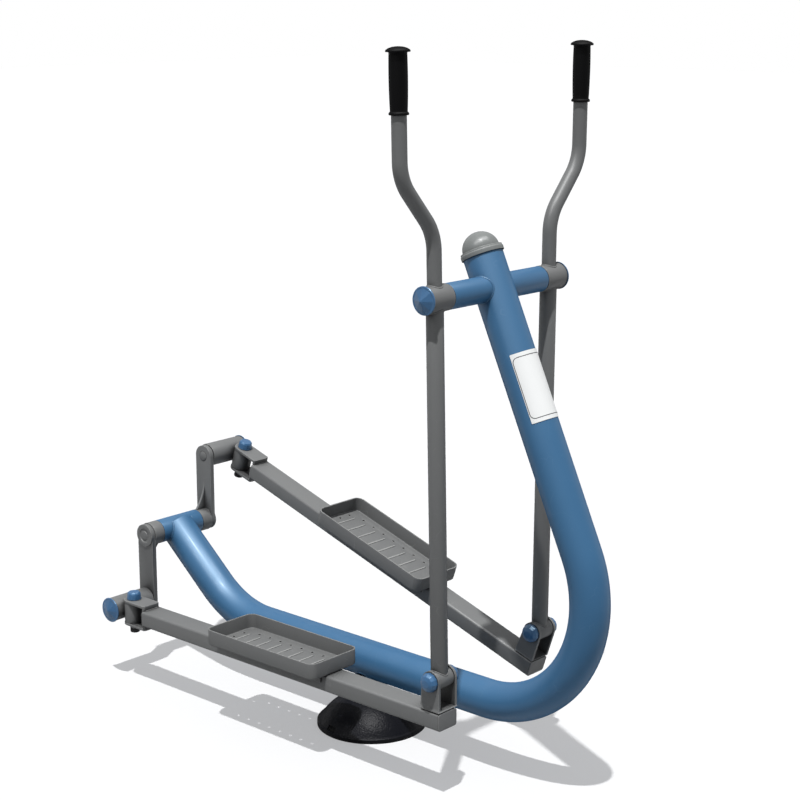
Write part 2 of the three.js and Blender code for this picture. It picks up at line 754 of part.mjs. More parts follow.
function addTray(beam, side) {
  const bottom = half(beamHeight) + seatGap;
  const block = (inset) => extruded(roundedRectangle(trayLength - inset * 2, trayWidth - inset * 2,
    trayCornerRadius - inset), trayHeight);
  const shell = cut(block(0), block(trayWall).translate(0, 0, trayFloorThickness));

  const holes = [];
  const hole = (x, y) => holes.push(rodZ(trayHoleRadius, -cutOverrun, trayFloorThickness + cutOverrun,
    holeSides).translate(x, y, 0));
  const rowStart = -half(trayHoleSpacing * (trayHoleCount - 1));
  for (let i = 0; i < trayHoleCount; i += 1) {
    hole(rowStart + i * trayHoleSpacing, trayHoleRowOffset);
    hole(rowStart + i * trayHoleSpacing, -trayHoleRowOffset);
  }
  for (const end of [-1, 1]) {
    const x = end * (trayHoleSpacing - rowStart);
    hole(x, trayEndHoleOffset);
    hole(x, 0);
    hole(x, -trayEndHoleOffset);
  }

  const ribs = repeated(trayRibCount, (i) => {
    const x = rowStart + half(trayHoleSpacing) + i * trayHoleSpacing;
    return boxBetween(
      [x - half(trayRibWidth), -half(trayRibLength), half(trayFloorThickness)],
      [x + half(trayRibWidth), half(trayRibLength), trayFloorThickness + trayRibHeight]);
  });

  const saddleInner = half(beamWidth) + seatGap;
  const saddleOuter = saddleInner + saddleThickness;
  const saddles = [-1, 1].map((end) => {
    const x = end * (half(trayLength) - saddleInset);
    const [x0, x1] = [x - half(saddleLength), x + half(saddleLength)];
    return [[-saddleOuter, -saddleInner], [saddleInner, saddleOuter]]
      .map(([y0, y1]) => boxBetween([x0, y0, -saddleDrop], [x1, y1, half(trayFloorThickness)]));
  });

  piece(beam, `foot_tray_${side}`, cut(join(shell, ...ribs, ...saddles.flat()), ...holes)
    .translate(trayCentreAlongBeam, 0, bottom), greyPaint);
}

// Swivel: the beam's yoke plates hold a sleeve on an upright bolt, and the sleeve is
// welded to the housing that turns on the crank pin

function addSwivel(beam, side, sign) {
  const plateInner = half(swivelSleeveHeight) + seatGap;
  const plateOuter = plateInner + yokePlateThickness;
  const boltRadius = half(swivelBoltDiameter);
  const outline = new THREE.Shape();
  outline.absarc(0, 0, yokeEndRadius, quarterTurn, halfTurn + quarterTurn);
  outline.lineTo(yokeFoldFromBolt, -yokeEndRadius);
  outline.lineTo(yokeFoldFromBolt, yokeEndRadius);
  const plate = () => cut(
    join(extruded(outline, yokePlateThickness, earSegments).translate(0, 0, plateInner),
      boxBetween([yokeFoldFromBolt - yokePlateThickness, -yokeEndRadius, half(beamHeight) + seatGap],
        [yokeFoldFromBolt, yokeEndRadius, plateOuter])),
    rodZ(boltRadius + seatGap, 0, plateOuter + cutOverrun, smallSides));
  const swivel = new THREE.Group();
  swivel.position.x = swivelFromPin;
  beam.add(swivel);
  piece(swivel, `yoke_plate_upper_${side}`, plate(), greyPaint);
  piece(swivel, `yoke_plate_lower_${side}`, plate().rotateX(halfTurn), greyPaint);

  const headTop = plateOuter + seatGap + swivelNutHeight;
  const nutFoot = -(plateOuter + seatGap);
  const nutEnd = nutFoot - swivelNutHeight;
  piece(swivel, `swivel_bolt_${side}`, join(
    rodZ(boltRadius, nutEnd, headTop - half(swivelNutHeight), smallSides),
    rodZ(swivelEndRadius, nutEnd - swivelBoltEnd, nutEnd + half(swivelNutHeight), smallSides),
    rodZ(swivelNutRadius, plateOuter + seatGap, headTop, hexSides),
    rodZ(swivelNutRadius, nutEnd, nutFoot, hexSides)), bareSteel);
  const pocket = swivelCapTopRadius - seatGap;
  piece(swivel, `swivel_cap_${side}`, turned([
    [0, swivelCapHeight - swivelCapWall], [pocket - capPlugWall, swivelCapHeight - swivelCapWall],
    [pocket, 0], [swivelCapRadius, 0], [swivelCapTopRadius, swivelCapHeight - swivelCapBevel],
    [swivelCapTopRadius - swivelCapBevel, swivelCapHeight], [0, swivelCapHeight],
  ], smallSides).rotateX(quarterTurn).translate(0, 0, plateOuter + seatGap), bluePlastic);

  const sleeve = half(swivelSleeveHeight);
  const barrel = outward(rodY(pinHousingRadius, pinHousingInner, pinHousingOuter), sign)
    .translate(0, -sign * armOffset, 0);
  const bore = outward(rodY(pinHousingBore, pinHousingInner - cutOverrun,
    pinHousingOuter + cutOverrun), sign).translate(0, -sign * armOffset, 0);
  piece(beam, `pin_housing_${side}`, cut(
    join(barrel,
      rodZ(half(swivelSleeveDiameter), -sleeve, sleeve).translate(swivelFromPin, 0, 0)),
    bore,
    rodZ(boltRadius + runningGap, -swivelSleeveHeight, swivelSleeveHeight, smallSides)
      .translate(swivelFromPin, 0, 0)), greyPaint);
  piece(beam, `pin_cap_${side}`, outward(
    endCap(pinCapRadius, pinCapHeight, pinHousingBore - seatGap)
      .translate(0, pinHousingOuter + seatGap, 0), sign)
    .translate(0, -sign * armOffset, 0), bluePlastic);
}

// Foot: flange with anchor bolts, post and domed cover

function baseFlange() {
  const bolts = repeated(anchorBoltCount, (i) => {
    const angle = half(quarterTurn) + fullTurn * i / anchorBoltCount;
    return join(
      rodZ(anchorBoltRadius, half(flangeThickness), flangeThickness + anchorBoltHeight, boltSides),
      rodZ(anchorNutRadius, half(flangeThickness), flangeThickness + anchorNutHeight, hexSides))
      .translate(flangeBoltCircleRadius * Math.cos(angle), flangeBoltCircleRadius * Math.sin(angle), 0);
  });
  return join(rodZ(flangeRadius, 0, flangeThickness, mainTubeSides), ...bolts);
}
piece(walker, 'base_flange', baseFlange(), bareSteel);
piece(walker, 'base_post', cut(
  ringZ(half(postDiameter), half(postDiameter) - postWall, flangeThickness + seatGap, levelRunHeight,
    mainTubeSides),
  rodY(seatRadius(mainRadius, mainTubeSides), -domeRadius, domeRadius, mainTubeSides)
    .rotateZ(-quarterTurn).translate(0, 0, levelRunHeight)), bluePaint);

function domeCover() {
  const neck = half(postDiameter) + domePostGap;
  const arc = (inset) => {
    const points = [];
    for (let i = 0; i <= domeSegments; i += 1) {
      const across = 1 - (1 - (neck / domeRadius)) * i / domeSegments;
      const lean = Math.sqrt(Math.max(0, 1 - across ** 2));
      const full = Math.sqrt(1 - (neck / domeRadius) ** 2);
      points.push([across * domeRadius - inset * across,
        domeRimHeight + (domeHeight - domeRimHeight - inset) * lean / full]);
    }
    points[domeSegments][0] = neck;
    return points;
  };
  const outer = arc(0);
  const inner = arc(domeWall).reverse();
  return turned([[domeRadius, 0], ...outer, ...inner, [domeRadius - domeWall, 0], [domeRadius, 0]],
    mainTubeSides).rotateX(quarterTurn);
}
piece(walker, 'dome_cover', domeCover(), blackPlastic);

export default walker;
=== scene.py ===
# %% [markdown]
# # Outdoor air walker
# This notebook dresses an air walker, the kind that stands in parks. A bent main tube carries
# a cross tube with two swinging arms, and a crank at the rear. Two beams with foot trays
# join the arms to the crank. The solid model gives the places, and the cells below rebuild
# each visible piece with round edges, welds and painted metal.

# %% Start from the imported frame
import bmesh
import bpy
from math import atan2, cos, degrees, hypot, pi, radians, sin, sqrt, tan, tau
from mathutils import Matrix, Quaternion, Vector


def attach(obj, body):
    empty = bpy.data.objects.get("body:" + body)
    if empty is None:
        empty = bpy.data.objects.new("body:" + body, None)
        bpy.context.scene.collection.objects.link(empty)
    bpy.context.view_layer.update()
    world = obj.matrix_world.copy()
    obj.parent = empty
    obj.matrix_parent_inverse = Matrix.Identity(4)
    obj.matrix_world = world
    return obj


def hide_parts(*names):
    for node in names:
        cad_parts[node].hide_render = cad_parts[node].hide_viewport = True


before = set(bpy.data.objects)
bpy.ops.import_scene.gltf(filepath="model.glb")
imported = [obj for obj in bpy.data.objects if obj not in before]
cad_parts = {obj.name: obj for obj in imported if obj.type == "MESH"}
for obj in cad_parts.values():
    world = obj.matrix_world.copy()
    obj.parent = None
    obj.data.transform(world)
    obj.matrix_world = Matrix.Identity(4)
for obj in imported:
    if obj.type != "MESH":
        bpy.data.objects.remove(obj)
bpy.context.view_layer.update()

# %% [markdown]
# ## The linkage
# Each side is a four-bar linkage: crank throw, beam, arm and main tube. Its joints could be
# read off the solids, but working them out from the four lengths keeps every piece exact.
# All lengths are in millimetres, and MM turns them into Blender's metres.

# %% Places of the joints
MM = 0.001
CRANK_AXIS, TOP_AXIS = Vector((-698, 0, 351.6)), Vector((363, 0, 1104))
CRANK_THROW, ARM_LENGTH, ARM_OFFSET = 171.6, 832, 193.5
PIVOT_ALONG, PIVOT_ABOVE = 1080, 90


def linkage(sign):
    """The crank pin, the arm's swing and the beam's pitch for the right (-1) or left (1) side."""
    pin = Vector((CRANK_AXIS.x, CRANK_AXIS.z + sign * CRANK_THROW))
    top = Vector((TOP_AXIS.x, TOP_AXIS.z))
    span = (pin - top).length
    chord = hypot(PIVOT_ALONG, PIVOT_ABOVE)
    along = (ARM_LENGTH ** 2 - chord ** 2 + span ** 2) / (2 * span)
    aside = sqrt(ARM_LENGTH ** 2 - along ** 2)
    way = (pin - top).normalized()
    foot = top + way * along + Vector((-way.y, way.x)) * aside
    swing = atan2(top.x - foot.x, top.y - foot.y)
    pitch = atan2(foot.y - pin.y, foot.x - pin.x) - atan2(PIVOT_ABOVE, PIVOT_ALONG)
    return pin, swing, pitch


def mm(x=0.0, y=0.0, z=0.0):
    """A place in millimetres as metres."""
    return (x * MM, y * MM, z * MM)


def spot(place, about="Y", angle=0.0):
    """A place in millimetres, turned about one axis, as a matrix in metres."""
    return Matrix.Translation(place * MM) @ Matrix.Rotation(angle, 4, about)


MIRROR = Matrix.Scale(-1, 4, (0, 1, 0))
SIDES = {"right": -1, "left": 1}
ARM_PLACE, BEAM_PLACE = {}, {}
for side, sign in SIDES.items():
    pin, swing, pitch = linkage(sign)
    flip = MIRROR if sign < 0 else Matrix()
    ARM_PLACE[side] = spot(TOP_AXIS + Vector((0, sign * ARM_OFFSET, 0)), "Y", swing) @ flip
    BEAM_PLACE[side] = spot(Vector((pin.x, sign * ARM_OFFSET, pin.y)), "Y", -pitch) @ flip
    print(side, "arm swings", round(degrees(swing), 2), "beam pitches", round(degrees(pitch), 2))

# %% [markdown]
# ## Camera
# The photograph is taken from the front right, a little above the grips' half height. The
# camera stands at the same place with the same long lens, so both pictures can be laid over
# each other.

# %% Camera
bpy.ops.object.select_all(action="DESELECT")
bpy.ops.object.camera_add(location=(2.759, -2.959, 1.733),
                          rotation=(radians(77.01), 0, radians(42.03)))
camera = bpy.context.object
camera.data.lens, camera.data.sensor_width = 80.49, 36
bpy.context.scene.camera = camera
bpy.context.scene.view_settings.view_transform = "Standard"
print("camera at", tuple(round(c, 3) for c in camera.location))

# %% [markdown]
# ## Shader nodes
# Sky, floor and paint are all drawn with shader nodes. Setting up a node by hand takes
# several lines, so a helper adds it, fills its inputs and hands back its output.

# %% Helpers for shader nodes
def fill(tree, node, sockets):
    """Sets a node's inputs to values, or links them to other nodes' outputs. An input is
    given by its name, or as i0, i1 and so on by its number."""
    for label, value in sockets.items():
        numbered = label[0] == "i" and label[1:].isdigit()
        socket = node.inputs[int(label[1:]) if numbered else label.replace("_", " ")]
        if isinstance(value, bpy.types.NodeSocket):
            tree.links.new(value, socket)
        else:
            socket.default_value = value


def wired(tree, kind, out=0, settings=(), **sockets):
    """One output of a new node."""
    node = tree.nodes.new("ShaderNode" + kind)
    for label, value in dict(settings).items():
        setattr(node, label, value)
    fill(tree, node, sockets)
    return node.outputs[out]


def maths(tree, operation, first, second, clamp=False):
    """A Math node's output."""
    return wired(tree, "Math", 0, {"operation": operation, "use_clamp": clamp}, i0=first,
                 i1=second)


def noise(tree, place, scale, detail, **more):
    """A noise texture's value."""
    return wired(tree, "TexNoise", "Fac", Vector=place, Scale=scale, Detail=detail, **more)


def mapped(tree, value, low, high, to_low=0.0, to_high=1.0):
    """A value moved from one range to another."""
    return wired(tree, "MapRange", "Result", Value=value, From_Min=low, From_Max=high,
                 To_Min=to_low, To_Max=to_high)


def layer(tree, under, over, mask):
    """Mixes a colour over another by a mask."""
    return wired(tree, "Mix", "Result", {"data_type": "RGBA"}, Factor=mask, A=under, B=over)


print("node helpers are ready")

# %% [markdown]
# ## Light
# One high sun gives the crisp shadows of the trays on the ground. The sky fills the shaded
# sides. Camera and gloss see it white, while it lights the object at a lower level, so that
# the tops stay brighter than the sides.

# %% Sun and sky
SUN_TRAVEL = Vector((-0.1477, 0.2649, -0.9529))
SUN_STRENGTH, SUN_WIDTH = 3.4, radians(1.2)
SKY_FILL = 0.32

bpy.ops.object.light_add(type="SUN", location=(1, -1, 3))
sun = bpy.context.object
sun.rotation_euler = SUN_TRAVEL.to_track_quat("-Z", "Y").to_euler()
sun.data.energy, sun.data.angle = SUN_STRENGTH, SUN_WIDTH


def seen_rays(tree):
    """1 where the camera, gloss or glass looks, and 0 where light only bounces."""
    total = wired(tree, "LightPath", "Is Camera Ray")
    for other in ("Is Glossy Ray", "Is Transmission Ray"):
        total = maths(tree, "MAXIMUM", total, wired(tree, "LightPath", other))
    return total


world = bpy.data.worlds.new("studio sky")
bpy.context.scene.world = world
world.use_nodes = True
sky = world.node_tree
fill(sky, sky.nodes["Background"], {"Color": layer(
    sky, (SKY_FILL * 0.97, SKY_FILL, SKY_FILL * 1.04, 1), (1, 1, 1, 1), seen_rays(sky))})
print("sun", SUN_STRENGTH, "sky fill", SKY_FILL)

# %% [markdown]
# A photographer hangs a long white cloth over glossy paint. It gives the leg a broad pale
# band and hardly lights the rest, so this lamp is long, hangs where the sun stands, and is
# seen in the gloss alone. It runs across the walker, which keeps the mast free of its gleam.

# %% Cloth for the gloss
CLOTH_POWER, CLOTH_SIZE, CLOTH_AWAY = 1500, (1.8, 9.0), 6.0
toward_sun = -SUN_TRAVEL.normalized()
across = Vector((-0.302, -0.930, -0.211))
across = (across - across.dot(toward_sun) * toward_sun).normalized()
bpy.ops.object.light_add(type="AREA", location=Vector((0, 0, 0.6)) + toward_sun * CLOTH_AWAY)
cloth = bpy.context.object
cloth.rotation_euler = Matrix((across.cross(toward_sun), across,
                               toward_sun)).transposed().to_euler()
cloth.data.shape = "RECTANGLE"
cloth.data.size, cloth.data.size_y = CLOTH_SIZE
cloth.data.energy = CLOTH_POWER
cloth.visible_diffuse = False
print("cloth", CLOTH_POWER, "W over", CLOTH_SIZE, "m")

# %% [markdown]
# ## Floor
# The ground of a product picture is white and shows only shadows. A part of its white is
# given off towards the camera, which lifts the shadows to a pale grey. Light that bounces
# meets a darker floor, so that the undersides of the tubes stay deep.

# %% Floor
FLOOR_SIZE, FLOOR_LIT, FLOOR_GLOW, FLOOR_BOUNCE = 60, 0.5, (0.36, 0.36, 0.365, 1), 0.2

bpy.ops.object.select_all(action="DESELECT")
bpy.ops.mesh.primitive_grid_add(x_subdivisions=4, y_subdivisions=4, size=FLOOR_SIZE)
floor = bpy.context.object
floor.name = "floor"
ground = bpy.data.materials.new("pale ground")
ground.use_nodes = True
tree = ground.node_tree
tree.nodes.clear()
lit, bounce = (wired(tree, "BsdfDiffuse", Color=(grey, grey, grey, 1))
               for grey in (FLOOR_LIT, FLOOR_BOUNCE))
both = wired(tree, "AddShader", i0=lit, i1=wired(tree, "Emission", Color=FLOOR_GLOW))
fill(tree, tree.nodes.new("ShaderNodeOutputMaterial"),
     {"Surface": wired(tree, "MixShader", i0=seen_rays(tree), i1=bounce, i2=both)})
floor.data.materials.append(ground)
print("floor", tuple(floor.dimensions))

# %% [markdown]
# ## Shader groups
# Paint, rubber and plastic share some effects: tone that drifts over a surface, the fine
# dimples of powder paint, pale worn edges that are also a painted highlight, dust on what
# faces up, painted shade in corners, and thin scratches. Each is a node group that is built
# once, so that a material only says how much it has of it.


# %% Helpers that start and end a node group
def new_group(name, **inputs):
    """An empty group with float inputs. It comes with their sockets and the place on a
    piece."""
    group = bpy.data.node_groups.new(name, "ShaderNodeTree")
    for label, default in inputs.items():
        socket = group.interface.new_socket(label, in_out="INPUT", socket_type="NodeSocketFloat")
        socket.default_value = default
    return (group, group.nodes.new("NodeGroupInput").outputs,
            group.nodes.new("ShaderNodeTexCoord").outputs["Object"])


def hand_out(group, label, source):
    """Gives a group its output."""
    group.interface.new_socket(label, in_out="OUTPUT", socket_type="NodeSocketFloat")
    fill(group, group.nodes.new("NodeGroupOutput"), {label: source})
    print("group", group.name)


print("group helpers are ready")

# %% Tone that drifts: a slow noise, lifted towards the light tone
drift, given, place = new_group("tone drift", Scale=6.0)
slow = noise(drift, place, given["Scale"], 3.0, Roughness=0.55)
hand_out(drift, "Tone", maths(drift, "ADD", slow, 0.5))

# %% Powder paint: dimples of about a millimetre
peel, given, place = new_group("powder dimples", Scale=700.0)
dimple = noise(peel, place, given["Scale"], 1.5, Roughness=0.4)
wave = noise(peel, place, 60.0, 1.0, Roughness=0.4)
hand_out(peel, "Height", maths(peel, "ADD", dimple, wave))

# %% Worn edges, which also paint a highlight: where the rounded normal leaves the true one
edge, given, place = new_group("worn edge", Radius=0.0015, Spread=9.0)
along = wired(edge, "VectorMath", "Value", {"operation": "DOT_PRODUCT"},
              i0=wired(edge, "Bevel", 0, {"samples": 4}, Radius=given["Radius"]),
              i1=wired(edge, "NewGeometry", "Normal"))
strength = maths(edge, "MULTIPLY", maths(edge, "SUBTRACT", 1.0, along), given["Spread"],
                 clamp=True)
patchy = noise(edge, place, 90.0, 3.0)
hand_out(edge, "Mask", maths(edge, "MULTIPLY", strength, patchy, clamp=True))

# %% Dust on what faces up
dust, given, place = new_group("settled dust", Amount=0.3)
upward = wired(dust, "SeparateXYZ", "Z", Vector=wired(dust, "NewGeometry", "Normal"))
thick = mapped(dust, noise(dust, place, 22.0, 6.0, Roughness=0.7), 0.4, 0.75)
spread = maths(dust, "MULTIPLY", mapped(dust, upward, 0.55, 1.0), thick)
hand_out(dust, "Mask", maths(dust, "MULTIPLY", spread, given["Amount"]))

# %% Painted shade in corners, where other surfaces are near
painted_shade, given, place = new_group("corner grime", Reach=0.1, Amount=0.5)
near = wired(painted_shade, "AmbientOcclusion", "AO", {"samples": 6}, Distance=given["Reach"])
hand_out(painted_shade, "Mask", maths(painted_shade, "MULTIPLY", mapped(painted_shade, near, 0.82, 0.42),
                              given["Amount"]))

# %% Thin scratches: the borders of large bent cells, broken up by a noise
scratch, given, place = new_group("thin scratches", Scale=30.0, Amount=0.3)
bent = wired(scratch, "TexNoise", "Color", Vector=place, Scale=12.0, Detail=2.0)
shifted = wired(scratch, "Mix", 1, {"data_type": "VECTOR"}, Factor=0.08, i4=place, i5=bent)
border = wired(scratch, "TexVoronoi", "Distance", {"feature": "DISTANCE_TO_EDGE"},
               Vector=shifted, Scale=given["Scale"])
broken = maths(scratch, "MULTIPLY", mapped(scratch, border, 0.0, 0.012, 1.0, 0.0),
               mapped(scratch, noise(scratch, place, 35.0, 2.0), 0.52, 0.62))
hand_out(scratch, "Mask", maths(scratch, "MULTIPLY", broken, given["Amount"]))

# %% [markdown]
# ## Finishes
# The walker has blue and grey powder paint, and caps of moulded blue plastic. The mast cap
# and the trays each have a grey of their own, and the tread ribs a lighter grey that is a
# painted highlight. The grips are rubber, the ground cover is grained black plastic, and the
# bolts are dark; the same dark steel rings the drain holes as painted shade. One function
# builds all finishes, because they differ in amounts alone. Gloss fades where a surface is
# seen edge-on, because paint would mirror the white surroundings there.


# %% One function for all finishes
def tint(red, green, blue):
    """A colour of 0 to 255 in screen values, as the linear colour that a shader wants."""
    def linear(value):
        value /= 255
        return value / 12.92 if value <= 0.04045 else ((value + 0.055) / 1.055) ** 2.4
    return (linear(red), linear(green), linear(blue), 1)


DUST, SHADE_COLOUR = tint(176, 172, 164), tint(14, 14, 15)
DRIFT_SCALE, SCRATCH_SCALE, SHADE_REACH, EDGE_SPREAD = 6.0, 18.0, 0.08, 9.0
ROUGH_DRIFT, COAT_ROUGH, RIM_DULLS_BY, RIM_GLOSS_LEFT = 0.05, 0.16, 0.5, 0.15


def use(tree, group, **values):
    """The output of a group placed in a material with its own values."""
    return wired(tree, "Group", 0, {"node_tree": group}, **values)


def finish(name, dark, light, worn, rough, metal=0.0, grain=(700.0, 0.00002), edge_wear_and_highlight=0.5,
           edge_width=0.003, dusty=0.15, scratched=0.2, specular=0.5, gleam=(1, 1, 1),
           coat=0.0, corner_shading=0.85):
    """A finish whose tone drifts between dark and light, with what lies on it: wear, dust and
    scratches, pale edges that also paint a highlight, and painted shade in corners. Colours
    are given in screen values."""
    dark, light, worn = (tint(*colour) for colour in (dark, light, worn))
    material = bpy.data.materials.new(name)
    material.use_nodes = True
    tree = material.node_tree
    tone = use(tree, drift, Scale=DRIFT_SCALE)
    settled = use(tree, dust, Amount=dusty)
    colour = layer(tree, dark, light, tone)
    for over, mask in (
            # pale edges: wear, and also a painted edge highlight
            (worn, use(tree, edge, Radius=edge_width, Spread=EDGE_SPREAD * edge_wear_and_highlight)),
            (worn, use(tree, scratch, Scale=SCRATCH_SCALE, Amount=scratched)),
            (DUST, settled),
            # painted shade: a dark layer where other surfaces are near
            (SHADE_COLOUR, use(tree, painted_shade, Reach=SHADE_REACH, Amount=corner_shading))):
        colour = layer(tree, colour, over, mask)
    rim = wired(tree, "LayerWeight", "Facing", Blend=0.5)
    dulled = mapped(tree, tone, 0.0, 1.0, rough - ROUGH_DRIFT, rough + ROUGH_DRIFT)
    for more in (settled, mapped(tree, rim, 0.55, 1.0, 0.0, RIM_DULLS_BY)):
        dulled = maths(tree, "ADD", dulled, more, clamp=True)
    bump = wired(tree, "Bump", "Normal", Strength=1.0, Distance=grain[1],
                 Height=use(tree, peel, Scale=grain[0]))
    fill(tree, tree.nodes["Principled BSDF"], {
        "Base Color": colour, "Roughness": dulled, "Normal": bump, "Metallic": metal,
        "Specular IOR Level": mapped(tree, rim, 0.4, 0.95, specular, specular * RIM_GLOSS_LEFT),
        "Specular Tint": (*gleam, 1), "Coat Weight": coat, "Coat Roughness": COAT_ROUGH})
    print("finish", name)
    return material

# %% The finishes
BLUE_PAINT = finish("blue powder paint", (50, 95, 134), (57, 103, 142),
                    (150, 180, 210), rough=0.39, specular=0.42, gleam=(0.62, 0.82, 1.0),
                    edge_wear_and_highlight=0.3, dusty=0.04, scratched=0.05, coat=0.03)
GREY_PAINT = finish("grey powder paint", (108, 109, 109), (116, 117, 117),
                    (172, 172, 170), rough=0.38, specular=0.2, edge_wear_and_highlight=0.6, dusty=0.04,
                    scratched=0.12)
TRAY_GREY = finish("grey tray paint", (106, 107, 107), (114, 115, 115),
                   (172, 172, 170), rough=0.46, specular=0.16, edge_wear_and_highlight=0.8, dusty=0.06, corner_shading=0.3)
PRESSED_GREY = finish("light grey cap paint", (120, 123, 122), (130, 133, 132),
                      (190, 190, 188), rough=0.27, specular=0.15, edge_wear_and_highlight=0.6, dusty=0.03)
RIB_HIGHLIGHT_GREY = finish("grey paint worn by shoes", (132, 133, 133), (152, 153, 152),
                    (185, 185, 182), rough=0.4, specular=0.2, edge_wear_and_highlight=0.8, dusty=0.1)
STEEL = finish("galvanized steel", (150, 152, 154), (176, 178, 180), (205, 205, 205),
               rough=0.38, metal=1.0, edge_wear_and_highlight=0.3)
DARK_STEEL_AND_HOLE_SHADE = finish("blackened steel", (14, 14, 15), (22, 23, 24), (80, 80, 78),
                    rough=0.45, specular=0.2, edge_wear_and_highlight=0.4)
RUBBER = finish("grip rubber", (5, 5, 6), (9, 9, 10), (30, 30, 30), rough=0.5,
                grain=(1400.0, 0.00005), edge_wear_and_highlight=0.25, dusty=0.01, scratched=0.02, specular=0.04)
BLACK_PLASTIC = finish("grained black plastic", (15, 16, 20), (20, 21, 26),
                       (36, 36, 34), rough=0.36, grain=(260.0, 0.0008), edge_wear_and_highlight=0.2, dusty=0.01,
                       scratched=0.02, specular=0.06)
BLUE_PLASTIC = finish("moulded blue plastic", (45, 87, 128), (52, 95, 137),
                      (140, 172, 208), rough=0.26, specular=0.6, gleam=(0.6, 0.82, 1.0),
                      grain=(900.0, 0.00001), edge_wear_and_highlight=0.6, edge_width=0.002, dusty=0.03)
WHITE_PLATE = finish("white enamel plate", (244, 245, 244), (251, 252, 251),
                     (215, 215, 213), rough=0.35, grain=(800.0, 0.00001), edge_wear_and_highlight=0.1,
                     edge_width=0.001, dusty=0.05, scratched=0.03)
PLATE_LINE = finish("plate border", (34, 36, 40), (44, 46, 50), (90, 90, 90), rough=0.4,
                    grain=(800.0, 0.00001), edge_wear_and_highlight=0.1, edge_width=0.001, dusty=0.04)

# %% [markdown]
# ## Working like a maker
# The helpers below are the workshop's tools. The lathe spins a profile about an axis. The
# bender draws a tube from a ring: it extrudes a run and spins the ring about a bend's
# centre. Others pick faces by their place, soften edges, cut and fuse bodies, and lay a
# weld along a joint. Everything is deselected first, since an operator acts on all that is
# selected.


# %% Choosing, placing and editing a piece
def only(*pieces):
    """Selects these pieces alone and makes the last one active."""
    bpy.ops.object.select_all(action="DESELECT")
    for piece in pieces:
        piece.select_set(True)
    bpy.context.view_layer.objects.active = pieces[-1]


def settle():
    """Puts the active piece's place, turn and size into its mesh."""
    bpy.ops.object.transform_apply(location=True, rotation=True, scale=True)
    return bpy.context.object


def made(name, operator, **settings):
    """A new piece from one of Blender's own shapes."""
    bpy.ops.object.select_all(action="DESELECT")
    operator(**settings)
    bpy.context.object.name = name
    return settle()


def moved(piece, x=0.0, y=0.0, z=0.0):
    """Moves a piece's mesh, while its origin stays where it is."""
    only(piece)
    piece.location = mm(x, y, z)
    return settle()


def whole():
    """Selects the whole mesh in edit mode."""
    bpy.ops.mesh.select_all(action="SELECT")


def begin_edit(piece, kind="VERT"):
    """Edit mode with nothing selected."""
    only(piece)
    bpy.ops.object.mode_set(mode="EDIT")
    bpy.ops.mesh.select_mode(type=kind)
    bpy.ops.mesh.select_all(action="DESELECT")


def end_edit(mend_normals=True):
    """Object mode again, with all faces pointing outwards."""
    if mend_normals:
        whole()
        bpy.ops.mesh.normals_make_consistent(inside=False)
    bpy.ops.object.mode_set(mode="OBJECT")


def pick(piece, kind, test):
    """Selects the vertices, edges or faces that pass a test of their middle and direction."""
    bpy.ops.mesh.select_mode(type=kind)
    bpy.ops.mesh.select_all(action="DESELECT")
    mesh = bmesh.from_edit_mesh(piece.data)
    if kind == "VERT":
        found = [v for v in mesh.verts if test(v.co / MM, v.normal)]
    elif kind == "EDGE":
        found = [e for e in mesh.edges if test((e.verts[0].co + e.verts[1].co) / 2 / MM,
                                               (e.verts[1].co - e.verts[0].co).normalized())]
    else:
        found = [f for f in mesh.faces if test(f.calc_center_median() / MM, f.normal)]
    for part in found:
        part.select_set(True)
    bmesh.update_edit_mesh(piece.data)


def draw_out(x=0.0, y=0.0, z=0.0, by=bpy.ops.mesh.extrude_region_move):
    """Extrudes what is selected."""
    by(TRANSFORM_OT_translate={"value": mm(x, y, z)})


def from_point(name, x, y, z):
    """A piece in edit mode that is one selected point."""
    piece = made(name, bpy.ops.mesh.primitive_plane_add, size=MM)
    begin_edit(piece)
    whole()
    bpy.ops.mesh.merge(type="CENTER")
    bpy.ops.transform.translate(value=mm(x, y, z))
    return piece


print("editing helpers are ready")


# %% The lathe
def lathe(name, profile, sides=72):
    """Spins a profile of (radius, height) about Z. A ring's profile ends where it starts."""
    piece = from_point(name, profile[0][0], 0, profile[0][1])
    for (r0, z0), (r1, z1) in zip(profile, profile[1:]):
        draw_out(r1 - r0, 0, z1 - z0, bpy.ops.mesh.extrude_vertices_move)
    whole()
    bpy.ops.mesh.spin(steps=sides, angle=tau, center=(0, 0, 0), axis=(0, 0, 1))
    whole()
    bpy.ops.mesh.remove_doubles(threshold=MM / 100)
    end_edit()
    return piece


def rod(name, radius, low, high, sides=72, bore=0.0):
    """A turned rod along Z, or a sleeve where it has a bore."""
    profile = [(bore, low), (radius, low), (radius, high), (bore, high)]
    return lathe(name, profile + profile[:1] if bore else profile, sides)


def toward_y(piece):
    """Lays a piece that was turned about Z along Y, its top facing out."""
    only(piece)
    piece.rotation_euler = (-pi / 2, 0, 0)
    return settle()


print("lathe is ready")

# %% The tube bender
BEND_STEP = radians(2.5)


